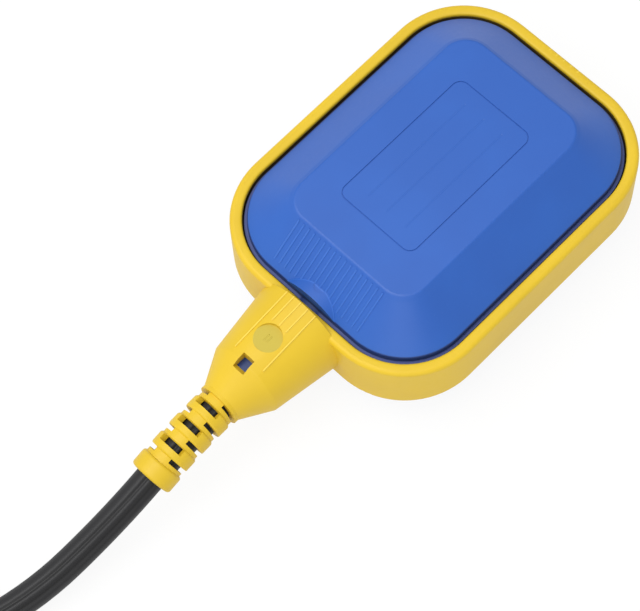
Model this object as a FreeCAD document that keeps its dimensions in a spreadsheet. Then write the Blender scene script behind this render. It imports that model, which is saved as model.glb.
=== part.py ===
import FreeCAD, Part
import math
import os
import Sketcher

Vector = FreeCAD.Vector
Placement = FreeCAD.Placement
Rotation = FreeCAD.Rotation

# Cable float switch. A flat two-shell float body is held by a moulded frame, which runs on as a tapered
# neck and a slotted strain relief for the cable. Inside, a steel ball rolls along a track and lifts a
# lever, which presses the button of a snap switch.
# The origin is the middle of the bottom plateau. +Z is up and the cable leaves towards -X.

doc = FreeCAD.newDocument("FloatSwitch")
sheet = doc.addObject("Spreadsheet::Sheet", "Sizes")


# A size is a number together with the expression that gives it in the document.
class Size:
    def __init__(self, text, value):
        self.text = text
        self.value = value

    def __add__(self, other):
        other = asSize(other)
        return Size(f"({self.text} + {other.text})", self.value + other.value)

    def __radd__(self, other):
        return asSize(other) + self

    def __sub__(self, other):
        other = asSize(other)
        return Size(f"({self.text} - {other.text})", self.value - other.value)

    def __rsub__(self, other):
        return asSize(other) - self

    def __mul__(self, other):
        other = asSize(other)
        return Size(f"({self.text} * {other.text})", self.value * other.value)

    def __rmul__(self, other):
        return asSize(other) * self

    def __truediv__(self, other):
        other = asSize(other)
        return Size(f"({self.text} / {other.text})", self.value / other.value)

    def __neg__(self):
        return Size(f"(0 - {self.text})", -self.value)

    def __float__(self):
        return float(self.value)


def asSize(number):
    if isinstance(number, Size):
        return number
    return Size(f"({number!r})", float(number))


sheetRow = 0


def size(name, value):
    global sheetRow
    sheetRow += 1
    sheet.set(f"A{sheetRow}", name)
    sheet.set(f"B{sheetRow}", repr(value))
    sheet.setAlias(f"B{sheetRow}", name)
    return Size(f"Sizes.{name}", float(value))


# Float body and frame
bodyThickness = size("bodyThickness", 41.5)
frameLength = size("frameLength", 107.0)
frameWidth = size("frameWidth", 81.0)
frameCorner = size("frameCorner", 24.5)
frameHeight = size("frameHeight", 19.4)
frameWall = size("frameWall", 3.5)
frameEdgeRadius = size("frameEdgeRadius", 1.4)
lipRun = size("lipRun", 1.9)
lipDrop = size("lipDrop", 1.6)
flangeGrip = size("flangeGrip", 1.5)
flangeThickness = size("flangeThickness", 2.0)
rimGap = size("rimGap", 0.4)
ledgeWidth = size("ledgeWidth", 0.9)
ledgeBelowLip = size("ledgeBelowLip", 0.4)
stepHeight = size("stepHeight", 2.0)
plateauLength = size("plateauLength", 71.7)
plateauWidth = size("plateauWidth", 45.1)
plateauCorner = size("plateauCorner", 7.4)
plateauEdgeRadius = size("plateauEdgeRadius", 0.9)
stepEdgeRadius = size("stepEdgeRadius", 0.8)
shellWall = size("shellWall", 2.2)

# Grip ribs, panel and marks
ribPitch = size("ribPitch", 1.07)
ribCount = size("ribCount", 29)
ribGrooveWidth = size("ribGrooveWidth", 0.4)
ribGrooveDepth = size("ribGrooveDepth", 0.3)
ribStartMargin = size("ribStartMargin", 1.0)
ribEndMargin = size("ribEndMargin", 1.9)
panelLength = size("panelLength", 48.4)
panelWidth = size("panelWidth", 27.0)
panelCorner = size("panelCorner", 3.0)
panelLine = size("panelLine", 0.35)
panelDepth = size("panelDepth", 0.25)
lobeRadius = size("lobeRadius", 13.3)
lobeMarkRadius = size("lobeMarkRadius", 1.9)
lobeMarkInset = size("lobeMarkInset", 4.1)
markDepth = size("markDepth", 0.25)

# Neck
neckRootRadius = size("neckRootRadius", 14.7)
neckRootInset = size("neckRootInset", 1.5)
neckLength = size("neckLength", 20.5)
neckShoulderRadius = size("neckShoulderRadius", 11.55)
shoulderLength = size("shoulderLength", 9.3)
collarRadius = size("collarRadius", 6.5)
collarLength = size("collarLength", 1.2)
neckFilletRadius = size("neckFilletRadius", 1.2)
spigotRadius = size("spigotRadius", 8.5)
spigotPastShoulder = size("spigotPastShoulder", 2.9)
stripeCount = size("stripeCount", 5)
stripePitch = size("stripePitch", 2.6)
stripeWidth = size("stripeWidth", 0.35)
stripeHeight = size("stripeHeight", 0.25)
stripeLongLength = size("stripeLongLength", 20.0)
stripeShortLength = size("stripeShortLength", 8.6)
dimpleRadius = size("dimpleRadius", 4.1)
dimpleFromRing = size("dimpleFromRing", 11.3)
dimpleDepth = size("dimpleDepth", 0.7)
windowFromRing = size("windowFromRing", 18.3)
windowLength = size("windowLength", 3.1)
windowWidth = size("windowWidth", 3.9)
windowRampLength = size("windowRampLength", 3.4)

# Strain relief and cable
cableRadius = size("cableRadius", 4.15)
cableFit = size("cableFit", 0.05)
beadRadius = size("beadRadius", 6.15)
beadLength = size("beadLength", 4.5)
beadGap = size("beadGap", 1.95)
beadCount = size("beadCount", 3)
beadEdgeRadius = size("beadEdgeRadius", 0.9)
waistRadius = size("waistRadius", 5.6)
endRingRadius = size("endRingRadius", 6.4)
endRingLength = size("endRingLength", 5.3)
topSlotWidth = size("topSlotWidth", 1.9)
topSlotHalfAngle = size("topSlotHalfAngle", 39.0)
sideSlotWidth = size("sideSlotWidth", 1.35)
sideSlotHalfAngle = size("sideSlotHalfAngle", 62.0)
sealRadius = size("sealRadius", 6.6)
sealLength = size("sealLength", 8.0)
sealRibDepth = size("sealRibDepth", 0.5)
sealFromSpigotEnd = size("sealFromSpigotEnd", 16.5)
tieWidth = size("tieWidth", 4.0)
tieThickness = size("tieThickness", 1.3)
tieHeadWidth = size("tieHeadWidth", 5.0)
tieHeadHeight = size("tieHeadHeight", 3.1)
heldReach = size("heldReach", 3.5)
coilMeanRadius = size("coilMeanRadius", 44.2)
coilTurnsAcross = size("coilTurnsAcross", 3)
coilLayers = size("coilLayers", 2)
coilEdgeRadius = size("coilEdgeRadius", 3.4)
coilLeadLength = size("coilLeadLength", 31.0)
coilTailLength = size("coilTailLength", 31.0)
coilEase = size("coilEase", 0.05)
coreRadius = size("coreRadius", 1.3)
coreFit = size("coreFit", 0.05)
coreParting = size("coreParting", 0.75)
coreEndLength = size("coreEndLength", 24.0)
conductorRadius = size("conductorRadius", 0.65)
conductorLength = size("conductorLength", 7.0)

# Ball, track and lever
ballRadius = size("ballRadius", 9.0)
ballTravel = size("ballTravel", 16.0)
ballFit = size("ballFit", 0.15)
trackFit = size("trackFit", 0.4)
trackWall = size("trackWall", 2.0)
trackFloor = size("trackFloor", 1.8)
leverArm = size("leverArm", 32.0)
leverSwing = size("leverSwing", 6.875)
leverFit = size("leverFit", 0.35)
leverWidth = size("leverWidth", 5.8)
leverTipThickness = size("leverTipThickness", 0.9)
leverHubRadius = size("leverHubRadius", 2.2)
pivotX = size("pivotX", 18.0)
pinRadius = size("pinRadius", 1.0)
pinFit = size("pinFit", 0.05)
earThickness = size("earThickness", 2.2)
earFit = size("earFit", 0.3)
coverHeight = size("coverHeight", 5.5)
coverWall = size("coverWall", 1.4)
coverClearance = size("coverClearance", 0.6)

# Snap switch
switchLength = size("switchLength", 20.0)
switchHeight = size("switchHeight", 10.0)
switchDepth = size("switchDepth", 6.4)
switchCoverDepth = size("switchCoverDepth", 1.2)
buttonFromPivot = size("buttonFromPivot", 8.0)
buttonFit = size("buttonFit", 0.1)
buttonSlideFit = size("buttonSlideFit", 0.05)
buttonWidth = size("buttonWidth", 2.0)
buttonDepth = size("buttonDepth", 3.0)
buttonInside = size("buttonInside", 3.0)
switchAboveLever = size("switchAboveLever", 1.8)
switchFrontFromPivot = size("switchFrontFromPivot", 12.0)
terminalLength = size("terminalLength", 3.2)
terminalSpacing = size("terminalSpacing", 7.4)
terminalWidth = size("terminalWidth", 2.8)
terminalThickness = size("terminalThickness", 0.5)
screwRadius = size("screwRadius", 1.25)
screwHeadRadius = size("screwHeadRadius", 2.4)
screwHeadHeight = size("screwHeadHeight", 1.5)
screwFit = size("screwFit", 0.1)
switchScrewSpacing = size("switchScrewSpacing", 9.5)
switchScrewHeight = size("switchScrewHeight", 7.0)
bossRadius = size("bossRadius", 3.2)
bossHeight = size("bossHeight", 3.0)
bossX = size("bossX", 20.0)
bossFit = size("bossFit", 0.4)
lugThickness = size("lugThickness", 2.4)

doc.recompute()

# Heights and places that several pieces share
middle = bodyThickness / 2
halfLength = frameLength / 2
halfWidth = frameWidth / 2
ringInnerX = halfLength - frameWall
rimHeight = frameHeight / 2
ledgeHeight = rimHeight - lipDrop - ledgeBelowLip
stepTop = ledgeHeight + stepHeight
neckShoulderX = -(halfLength + neckLength)
collarX = neckShoulderX - shoulderLength
reliefX = collarX - collarLength
spigotEndX = neckShoulderX - spigotPastShoulder
cavityInset = frameWall + rimGap + ledgeWidth + shellWall
cavityEndX = -(halfLength - cavityInset)
trackHalfWidth = ballRadius + trackFit
carrierHalfWidth = trackHalfWidth + trackWall
lugY = carrierHalfWidth + bossRadius + bossFit
trackFloorZ = shellWall + trackFloor
ballCentreZ = trackFloorZ + ballFit + ballRadius
ballStartX = pivotX - leverArm
leverTopZ = ballCentreZ + ballRadius + leverFit + leverTipThickness
pivotZ = leverTopZ - leverHubRadius * 0.55
coverBottomZ = leverTopZ + coverClearance
trackStartX = ballStartX - ballRadius - trackFit
trackEndX = ballStartX + ballTravel + ballRadius + trackFit
switchBottomZ = leverTopZ + switchAboveLever
switchFrontX = pivotX - switchFrontFromPivot
switchBackX = switchFrontX + switchLength
switchMiddleX = (switchFrontX + switchBackX) / 2
switchTopZ = switchBottomZ + switchHeight
buttonX = pivotX - buttonFromPivot


def bind(thing, prop, value):
    thing.setExpression(prop, asSize(value).text)


def newBody(label, height=0.0):
    body = doc.addObject("PartDesign::Body", label)
    body.Label = label
    if isinstance(height, Size):
        bind(body, ".Placement.Base.z", height)
    return body


def newSketch(body, plane, offset=0.0):
    sketch = body.newObject("Sketcher::SketchObject", body.Label + "Sketch")
    support = next(item for item in body.Origin.OriginFeatures if item.Role == plane + "_Plane")
    sketch.AttachmentSupport = [(support, "")]
    sketch.MapMode = "FlatFace"
    offset = asSize(offset)
    sketch.AttachmentOffset = Placement(Vector(0, 0, float(offset)), Rotation())
    bind(sketch, ".AttachmentOffset.Base.z", offset)
    return sketch


def dimension(sketch, kind, *where, value):
    value = asSize(value)
    index = sketch.addConstraint(Sketcher.Constraint(kind, *where, float(value)))
    bind(sketch, f"Constraints[{index}]", value)


# A closed outline of straight edges; every corner is placed from the sketch's origin.
def addPolygon(sketch, corners):
    first = sketch.GeometryCount
    count = len(corners)
    points = [Vector(float(across), float(up), 0) for across, up in corners]
    for index in range(count):
        sketch.addGeometry(Part.LineSegment(points[index], points[(index + 1) % count]), False)
    for index in range(count):
        following = first + (index + 1) % count
        sketch.addConstraint(Sketcher.Constraint("Coincident", first + index, 2, following, 1))
    for index, (across, up) in enumerate(corners):
        if float(across) == 0.0:
            sketch.addConstraint(Sketcher.Constraint("PointOnObject", first + index, 1, -2))
        else:
            dimension(sketch, "DistanceX", -1, 1, first + index, 1, value=across)
        if float(up) == 0.0:
            sketch.addConstraint(Sketcher.Constraint("PointOnObject", first + index, 1, -1))
        else:
            dimension(sketch, "DistanceY", -1, 1, first + index, 1, value=up)


def addRectangle(sketch, left, right, low, high):
    addPolygon(sketch, [(left, low), (right, low), (right, high), (left, high)])


# A rectangle with round corners, centred on the sketch's origin.
def addRoundedRectangle(sketch, halfAcross, halfUp, corner):
    first = sketch.GeometryCount
    x, y, r = float(halfAcross), float(halfUp), float(corner)
    straights = [
        ((-x + r, -y), (x - r, -y)),
        ((x, -y + r), (x, y - r)),
        ((x - r, y), (-x + r, y)),
        ((-x, y - r), (-x, -y + r)),
    ]
    centres = [(x - r, -y + r), (x - r, y - r), (-x + r, y - r), (-x + r, -y + r)]
    for index in range(4):
        start, end = straights[index]
        sketch.addGeometry(Part.LineSegment(Vector(*start, 0), Vector(*end, 0)), False)
        circle = Part.Circle(Vector(*centres[index], 0), Vector(0, 0, 1), r)
        turn = math.radians(90 * index - 90)
        sketch.addGeometry(Part.ArcOfCircle(circle, turn, turn + math.pi / 2), False)
    for index in range(4):
        line = first + 2 * index
        arc = line + 1
        following = first + (2 * index + 2) % 8
        sketch.addConstraint(Sketcher.Constraint("Tangent", line, 2, arc, 1))
        sketch.addConstraint(Sketcher.Constraint("Tangent", arc, 2, following, 1))
        if index > 1:
            sketch.addConstraint(Sketcher.Constraint("Vertical" if index % 2 else "Horizontal", line))
        if index:
            sketch.addConstraint(Sketcher.Constraint("Equal", first + 1, arc))
    sketch.addConstraint(Sketcher.Constraint("Symmetric", first, 1, first, 2, -2))
    sketch.addConstraint(Sketcher.Constraint("Symmetric", first + 2, 1, first + 2, 2, -1))
    dimension(sketch, "Radius", first + 1, value=corner)
    dimension(sketch, "DistanceX", -1, 1, first + 2, 1, value=halfAcross)
    dimension(sketch, "DistanceY", -1, 1, first + 4, 1, value=halfUp)


# The frame's outline moved inwards, which is the outline of everything that nests in the frame.
def addFrameOutline(sketch, inset):
    inset = asSize(inset)
    addRoundedRectangle(sketch, halfLength - inset, halfWidth - inset, frameCorner - inset)


def addCircle(sketch, across, up, radius):
    index = sketch.GeometryCount
    centre = Vector(float(across), float(up), 0)
    sketch.addGeometry(Part.Circle(centre, Vector(0, 0, 1), float(radius)), False)
    dimension(sketch, "Radius", index, value=radius)
    for kind, axis, place in (("DistanceX", -2, across), ("DistanceY", -1, up)):
        if float(place) == 0.0:
            sketch.addConstraint(Sketcher.Constraint("PointOnObject", index, 3, axis))
        else:
            dimension(sketch, kind, -1, 1, index, 3, value=place)


# The upper half of a disc about the sketch's origin, with its straight side on the first axis.
def addHalfDisc(sketch, radius):
    first = sketch.GeometryCount
    r = float(radius)
    sketch.addGeometry(Part.ArcOfCircle(Part.Circle(Vector(), Vector(0, 0, 1), r), 0, math.pi), False)
    sketch.addGeometry(Part.LineSegment(Vector(-r, 0, 0), Vector(r, 0, 0)), False)
    sketch.addConstraint(Sketcher.Constraint("Coincident", first, 3, -1, 1))
    sketch.addConstraint(Sketcher.Constraint("Coincident", first, 2, first + 1, 1))
    sketch.addConstraint(Sketcher.Constraint("Coincident", first + 1, 2, first, 1))
    sketch.addConstraint(Sketcher.Constraint("Horizontal", first + 1))
    dimension(sketch, "Radius", first, value=radius)


def pad(body, sketch, length, reverse=False, midplane=False):
    feature = body.newObject("PartDesign::Pad", body.Label + "Pad")
    feature.Profile = sketch
    feature.Length = float(length)
    bind(feature, "Length", length)
    feature.Reversed = reverse
    feature.Midplane = midplane
    return feature


def pocket(body, sketch, length, reverse=False, midplane=False):
    feature = body.newObject("PartDesign::Pocket", body.Label + "Pocket")
    feature.Profile = sketch
    feature.Length = float(length)
    bind(feature, "Length", length)
    feature.Reversed = reverse
    feature.Midplane = midplane
    return feature


def loft(body, kind, lower, upper):
    feature = body.newObject("PartDesign::" + kind, body.Label + "Loft")
    feature.Profile = lower
    feature.Sections = [upper]
    feature.Ruled = True
    return feature


def revolve(body, kind, sketch, axis):
    feature = body.newObject("PartDesign::" + kind, body.Label + "Turned")
    feature.Profile = sketch
    feature.ReferenceAxis = (sketch, [axis])
    feature.Angle = 360.0
    return feature


# The edges of a feature that a test picks out, as the names that a fillet or chamfer takes.
def pickEdges(feature, test):
    doc.recompute()
    return [f"Edge{index + 1}" for index, edge in enumerate(feature.Shape.Edges) if test(edge)]


def atHeight(edge, height):
    box = edge.BoundBox
    return abs(box.ZMin - height) < 1e-4 and abs(box.ZMax - height) < 1e-4


def fillet(body, feature, test, radius):
    edges = pickEdges(feature, test)
    rounded = body.newObject("PartDesign::Fillet", body.Label + "Fillet")
    rounded.Base = (feature, edges)
    rounded.Radius = float(radius)
    bind(rounded, "Radius", radius)
    return rounded


def pattern(body, feature, sketch, axis, length, count):
    copies = body.newObject("PartDesign::LinearPattern", body.Label + "Pattern")
    copies.Originals = [feature]
    copies.Direction = (sketch, [axis])
    copies.Length = float(length)
    copies.Occurrences = int(float(count))
    bind(copies, "Length", length)
    bind(copies, "Occurrences", count)
    body.Tip = copies
    return copies


# One half of the float body, built with its seam at height 0 and its plateau up.
def makeShell(label):
    body = newBody(label)
    flange = newSketch(body, "XY")
    addFrameOutline(flange, frameWall - flangeGrip)
    pad(body, flange, flangeThickness)
    skirt = newSketch(body, "XY")
    addFrameOutline(skirt, frameWall + rimGap)
    pad(body, skirt, ledgeHeight)
    flankInset = frameWall + rimGap + ledgeWidth
    step = newSketch(body, "XY")
    addFrameOutline(step, flankInset)
    pad(body, step, stepTop)
    flankFoot = newSketch(body, "XY", stepTop)
    addFrameOutline(flankFoot, flankInset)
    plateau = newSketch(body, "XY", middle)
    addRoundedRectangle(plateau, plateauLength / 2, plateauWidth / 2, plateauCorner)
    flank = loft(body, "AdditiveLoft", flankFoot, plateau)
    topEdges = fillet(body, flank, lambda edge: atHeight(edge, float(middle)), plateauEdgeRadius)
    body.Tip = topEdges
    footEdges = fillet(body, topEdges, lambda edge: atHeight(edge, float(stepTop)), stepEdgeRadius)
    body.Tip = footEdges

    # Grip grooves down the flank that faces the cable
    footX = -(halfLength - flankInset)
    headX = -(plateauLength / 2)
    rise = (middle - stepTop) / (headX - footX)
    lowX = footX + ribEndMargin
    highX = headX - ribStartMargin
    lowZ = stepTop + rise * ribEndMargin - ribGrooveDepth
    highZ = middle - rise * ribStartMargin - ribGrooveDepth
    clear = ribGrooveDepth * 4
    groove = newSketch(body, "XZ", -(ribPitch * (ribCount - 1) / 2))
    addPolygon(groove, [(lowX, lowZ), (highX, highZ), (highX, highZ + clear), (lowX, lowZ + clear)])
    cut = pocket(body, groove, ribGrooveWidth, midplane=True)
    pattern(body, cut, groove, "N_Axis", ribPitch * (ribCount - 1), ribCount)

    # Lobe that carries the neck's round form into the flank
    lobe = newSketch(body, "YZ", footX)
    addHalfDisc(lobe, lobeRadius)
    pad(body, lobe, headX - footX)
    spigot = newSketch(body, "YZ", spigotEndX)
    addHalfDisc(spigot, spigotRadius)
    pad(body, spigot, footX - spigotEndX + shellWall)

    # Inside of the shell
    mouth = newSketch(body, "XY")
    addFrameOutline(mouth, cavityInset)
    pocket(body, mouth, ledgeHeight, reverse=True)
    cavityFoot = newSketch(body, "XY", ledgeHeight)
    addFrameOutline(cavityFoot, cavityInset)
    ceiling = newSketch(body, "XY", middle - shellWall)
    corner = plateauCorner - shellWall
    addRoundedRectangle(ceiling, plateauLength / 2 - shellWall, plateauWidth / 2 - shellWall, corner)
    loft(body, "SubtractiveLoft", cavityFoot, ceiling)
    bore = newSketch(body, "YZ", spigotEndX - 1)
    addHalfDisc(bore, cableRadius + cableFit)
    pocket(body, bore, footX - spigotEndX + shellWall * 3, reverse=True)
    seat = newSketch(body, "YZ", spigotEndX + sealFromSpigotEnd)
    addHalfDisc(seat, sealRadius)
    pocket(body, seat, sealLength, reverse=True)
    return body


def makeUpperShell():
    body = makeShell("upper_shell")
    bind(body, ".Placement.Base.z", middle)
    panel = newSketch(body, "XY", middle)
    addRoundedRectangle(panel, panelLength / 2, panelWidth / 2, panelCorner)
    inner = panelCorner - panelLine
    addRoundedRectangle(panel, panelLength / 2 - panelLine, panelWidth / 2 - panelLine, inner)
    pocket(body, panel, panelDepth)
    mark = newSketch(body, "XY", lobeRadius + 1)
    markX = -(halfLength - frameWall - rimGap - ledgeWidth) + lobeMarkInset
    addCircle(mark, markX, 0.0, lobeMarkRadius)
    pocket(body, mark, markDepth + 1)


def makeLowerShell():
    body = makeShell("lower_shell")
    body.Placement = Placement(Vector(0, 0, float(middle)), Rotation(Vector(1, 0, 0), 180))
    bind(body, ".Placement.Base.z", middle)
    bosses = newSketch(body, "XY", middle - shellWall / 2)
    for across in (-bossX, bossX):
        for up in (-lugY, lugY):
            addCircle(bosses, across, up, bossRadius)
    pad(body, bosses, bossHeight + shellWall / 2, reverse=True)
    holes = newSketch(body, "XY", middle - shellWall - bossHeight)
    for across in (-bossX, bossX):
        for up in (-lugY, lugY):
            addCircle(holes, across, up, screwRadius)
    pocket(body, holes, bossHeight, reverse=True)


# Frame ring and neck, with the middle of the ring at height 0
def makeFrameMoulding():
    body = newBody("frame_moulding", middle)
    ring = newSketch(body, "XY", -rimHeight)
    addFrameOutline(ring, 0.0)
    block = pad(body, ring, frameHeight)
    outer = fillet(body, block, lambda edge: abs(edge.BoundBox.ZMax - edge.BoundBox.ZMin) < 1e-4,
                   frameEdgeRadius)
    body.Tip = outer

    neck = newSketch(body, "XZ")
    rootX = -(halfLength - neckRootInset)
    addPolygon(neck, [
        (rootX, 0.0),
        (rootX, neckRootRadius),
        (neckShoulderX, neckShoulderRadius),
        (collarX, collarRadius),
        (reliefX, collarRadius),
        (reliefX, 0.0),
    ])
    turned = revolve(body, "Revolution", neck, "H_Axis")
    shoulder = fillet(body, turned, lambda edge: atStation(edge, float(neckShoulderX)), neckFilletRadius)
    body.Tip = shoulder

    # Raised stripes along the top of the neck
    for index in range(int(float(stripeCount))):
        step = index - (int(float(stripeCount)) - 1) / 2
        outermost = index in (0, int(float(stripeCount)) - 1)
        makeStripe(body, stripePitch * step, stripeLongLength if outermost else stripeShortLength)

    opening = newSketch(body, "XY", -rimHeight - 1)
    addFrameOutline(opening, frameWall)
    hole = pocket(body, opening, frameHeight * 2, reverse=True)
    lip = body.newObject("PartDesign::Chamfer", "frame_lip")
    lip.Base = (hole, pickEdges(hole, isLipEdge))
    lip.ChamferType = "Two distances"
    lip.Size = float(lipDrop)
    lip.Size2 = float(lipRun)
    bind(lip, "Size", lipDrop)
    bind(lip, "Size2", lipRun)
    body.Tip = lip
    grip = newSketch(body, "XY", -flangeThickness)
    addFrameOutline(grip, frameWall - flangeGrip)
    pocket(body, grip, flangeThickness * 2, reverse=True)

    # Room for the shells' spigot and for the cable
    seat = newSketch(body, "YZ", spigotEndX)
    addCircle(seat, 0.0, 0.0, spigotRadius)
    pocket(body, seat, -spigotEndX - halfLength + frameWall, reverse=True)
    bore = newSketch(body, "YZ", reliefX - 1)
    addCircle(bore, 0.0, 0.0, cableRadius + cableFit)
    pocket(body, bore, spigotEndX - reliefX + 2, reverse=True)

    # Moulding mark: a shallow round dimple on top
    dimple = newSketch(body, "XY", neckRadiusAt(dimpleFromRing) - dimpleDepth)
    addCircle(dimple, -(halfLength + dimpleFromRing), 0.0, dimpleRadius)
    pocket(body, dimple, dimpleDepth * 4, reverse=True)

    # Window down to the spigot on both sides, with a ramp on its cable side
    windowX = -(halfLength + windowFromRing)
    surface = neckRadiusAt(windowFromRing) + 1
    window = newSketch(body, "XZ")
    for side in (1, -1):
        addPolygon(window, [
            (windowX, spigotRadius * 0.9 * side),
            (windowX, surface * side),
            (windowX - windowLength - windowRampLength, surface * side),
            (windowX - windowLength, spigotRadius * side),
            (windowX - windowLength, spigotRadius * 0.9 * side),
        ])
    pocket(body, window, windowWidth, midplane=True)
    return body


# The neck's radius at a distance from the frame's end, measured along the neck
def neckRadiusAt(distance):
    return neckRootRadius - (neckRootRadius - neckShoulderRadius) * (distance + neckRootInset) / (
        neckLength + neckRootInset)


def makeStripe(body, place, length):
    stripe = newSketch(body, "XZ", place)
    rootX = -(halfLength - neckRootInset)
    endX = rootX - length
    endRadius = neckRadiusAt(length - neckRootInset)
    rootTop = neckRootRadius - place * place / (neckRootRadius * 2) + stripeHeight
    endTop = endRadius - place * place / (endRadius * 2) + stripeHeight
    addPolygon(stripe, [(rootX, rootTop - 2), (rootX, rootTop), (endX, endTop), (endX, endTop - 2)])
    pad(body, stripe, stripeWidth, midplane=True)


def atStation(edge, place):
    box = edge.BoundBox
    return abs(box.XMin - place) < 1e-4 and abs(box.XMax - place) < 1e-4


def isLipEdge(edge):
    box = edge.BoundBox
    flat = abs(box.ZMax - box.ZMin) < 1e-4
    height = abs(abs(box.ZMax) - float(rimHeight)) < 1e-4
    insideX = max(abs(box.XMax), abs(box.XMin)) < float(ringInnerX) + 1e-3
    insideY = max(abs(box.YMax), abs(box.YMin)) < float(halfWidth - frameWall) + 1e-3
    return flat and height and insideX and insideY


# Route of the free cable, from inside the neck to the start of the coil. The runs between the points are
# joined by tangent arcs.
floorLevel = float(cableRadius)
cableRoute = [
    Vector(-69.5, 0.0, float(middle)),
    Vector(-97.0, 0.0, float(middle)),
    Vector(-125.5, -0.5, 12.7),
    Vector(-156.0, 1.5, 6.3),
    Vector(-186.0, 12.6, floorLevel),
    Vector(-197.0, 16.67, floorLevel),
]


# The edges of a route, and for each edge its length: runs and arcs in turn.
def routeEdges(points, name):
    edges = []
    start = points[0]
    for index in range(1, len(points) - 1):
        corner = points[index]
        back = points[index - 1] - corner
        onward = points[index + 1] - corner
        shorter = min(back.Length, onward.Length)
        back.normalize()
        onward.normalize()
        turn = math.pi - back.getAngle(onward)
        reach = 0.45 * shorter
        radius = reach / math.tan(turn / 2)
        arcStart = corner + back * reach
        arcEnd = corner + onward * reach
        inward = back + onward
        inward.normalize()
        centre = corner + inward * math.hypot(radius, reach)
        arcMiddle = centre - inward * radius
        edges.append(Part.LineSegment(start, arcStart).toShape())
        edges.append(Part.Arc(arcStart, arcMiddle, arcEnd).toShape())
        print(f"{name}: radius {radius:.1f} mm at point {index}")
        start = arcEnd
    edges.append(Part.LineSegment(start, points[-1]).toShape())
    return edges


def sweepRound(edges, radius):
    path = Part.Wire(edges)
    start = edges[0].valueAt(edges[0].FirstParameter)
    direction = edges[0].tangentAt(edges[0].FirstParameter)
    section = Part.Wire([Part.Circle(start, direction, radius).toShape()])
    return path.makePipeShell([section], True, False)


def checkedTube(points, radius, name):
    edges = routeEdges(points, name)
    tube = sweepRound(edges, radius)
    length = sum(edge.Length for edge in edges)
    expected = math.pi * radius * radius * length
    print(f"{name}: {length:.1f} mm long, volume {tube.Volume / expected:.4f} of its section times length")
    return tube


def addShape(label, shape):
    feature = doc.addObject("Part::Feature", label)
    feature.Label = label
    feature.Shape = shape
    return feature


# The local frame of the route at a distance from its start: local X runs back along the cable.
def routeStation(edges, distance):
    for edge in edges:
        if distance <= edge.Length:
            break
        distance -= edge.Length
    parameter = edge.getParameterByLength(distance)
    point = edge.valueAt(parameter)
    backward = -edge.tangentAt(parameter)
    side = Vector(0, 0, 1).cross(backward)
    side.normalize()
    upward = backward.cross(side)
    return Placement(point, Rotation(backward, side, upward, "XYZ"))


# A wedge about the local X axis, used for the slots of the strain relief
def makeWedge(width, halfAngle, towards):
    reach = 2.0 * float(endRingRadius)
    corners = [Vector(0, 0, 0)]
    for angle in (-halfAngle, 0.0, halfAngle):
        turn = math.radians(towards + angle)
        corners.append(Vector(0, reach * math.cos(turn), reach * math.sin(turn)))
    corners.append(corners[0])
    wedge = Part.Face(Part.makePolygon(corners)).extrude(Vector(width, 0, 0))
    wedge.translate(Vector(-width / 2, 0, 0))
    return wedge


def makeRing(radius, length, edgeRadius):
    ring = Part.makeCylinder(radius, length, Vector(-length / 2, 0, 0), Vector(1, 0, 0))
    circles = [edge for edge in ring.Edges if isinstance(edge.Curve, Part.Circle)]
    return ring.makeFillet(edgeRadius, circles)


# Strain relief: a waist with beads and an end ring that follow the cable as it sags, with slots through
# the sides between the beads and through the top and bottom of each bead
def makeStrainRelief():
    edges = routeEdges(cableRoute, "strain relief")
    begin = cableRoute[0].x - float(reliefX)
    pitch = float(beadLength + beadGap)
    count = int(float(beadCount))
    total = float(beadGap) + count * pitch + float(endRingLength)
    waistEdges = Part.Wire(edges[:4]).Edges
    relief = sweepRound(waistEdges, float(waistRadius))
    front = Part.makeBox(200, 60, 60, Vector(float(reliefX) + 0.3, -30, float(middle) - 30))
    relief = relief.cut(front)
    cutters = []
    for index in range(count + 1):
        gapMiddle = begin + index * pitch + float(beadGap) / 2
        station = routeStation(edges, gapMiddle)
        for towards in (0.0, 180.0):
            slot = makeWedge(float(sideSlotWidth), float(sideSlotHalfAngle), towards)
            slot.Placement = station
            cutters.append(slot)
    rings = []
    for index in range(count):
        beadMiddle = begin + float(beadGap) + index * pitch + float(beadLength) / 2
        station = routeStation(edges, beadMiddle)
        bead = makeRing(float(beadRadius), float(beadLength), float(beadEdgeRadius))
        bead.Placement = station
        rings.append(bead)
        for towards in (90.0, 270.0):
            slot = makeWedge(float(topSlotWidth), float(topSlotHalfAngle), towards)
            slot.Placement = station
            cutters.append(slot)
    endMiddle = begin + total - float(endRingLength) / 2
    endRing = makeRing(float(endRingRadius), float(endRingLength), float(beadEdgeRadius))
    endRing.Placement = routeStation(edges, endMiddle)
    behind = Part.makeBox(60, 60, 60, Vector(-60, -30, -30))
    behind.Placement = routeStation(edges, begin + total - 0.5)
    relief = relief.cut(behind)
    relief = relief.fuse(rings + [endRing])
    bore = sweepRound(edges[:4], float(cableRadius + cableFit))
    relief = relief.cut([bore] + cutters)
    return addShape("strain_relief", relief.removeSplitter())


def makeYellowFrame():
    moulding = makeFrameMoulding()
    relief = makeStrainRelief()
    frame = doc.addObject("Part::Fuse", "yellow_frame")
    frame.Label = "yellow_frame"
    frame.Base = moulding
    frame.Tool = relief
    frame.Refine = True


def makeBox(name, left, right, near, far, low, high):
    box = doc.addObject("Part::Box", name)
    box.Label = name
    bind(box, "Length", asSize(right) - left)
    bind(box, "Width", asSize(far) - near)
    bind(box, "Height", asSize(high) - low)
    bind(box, ".Placement.Base.x", left)
    bind(box, ".Placement.Base.y", near)
    bind(box, ".Placement.Base.z", low)
    return box


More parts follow.
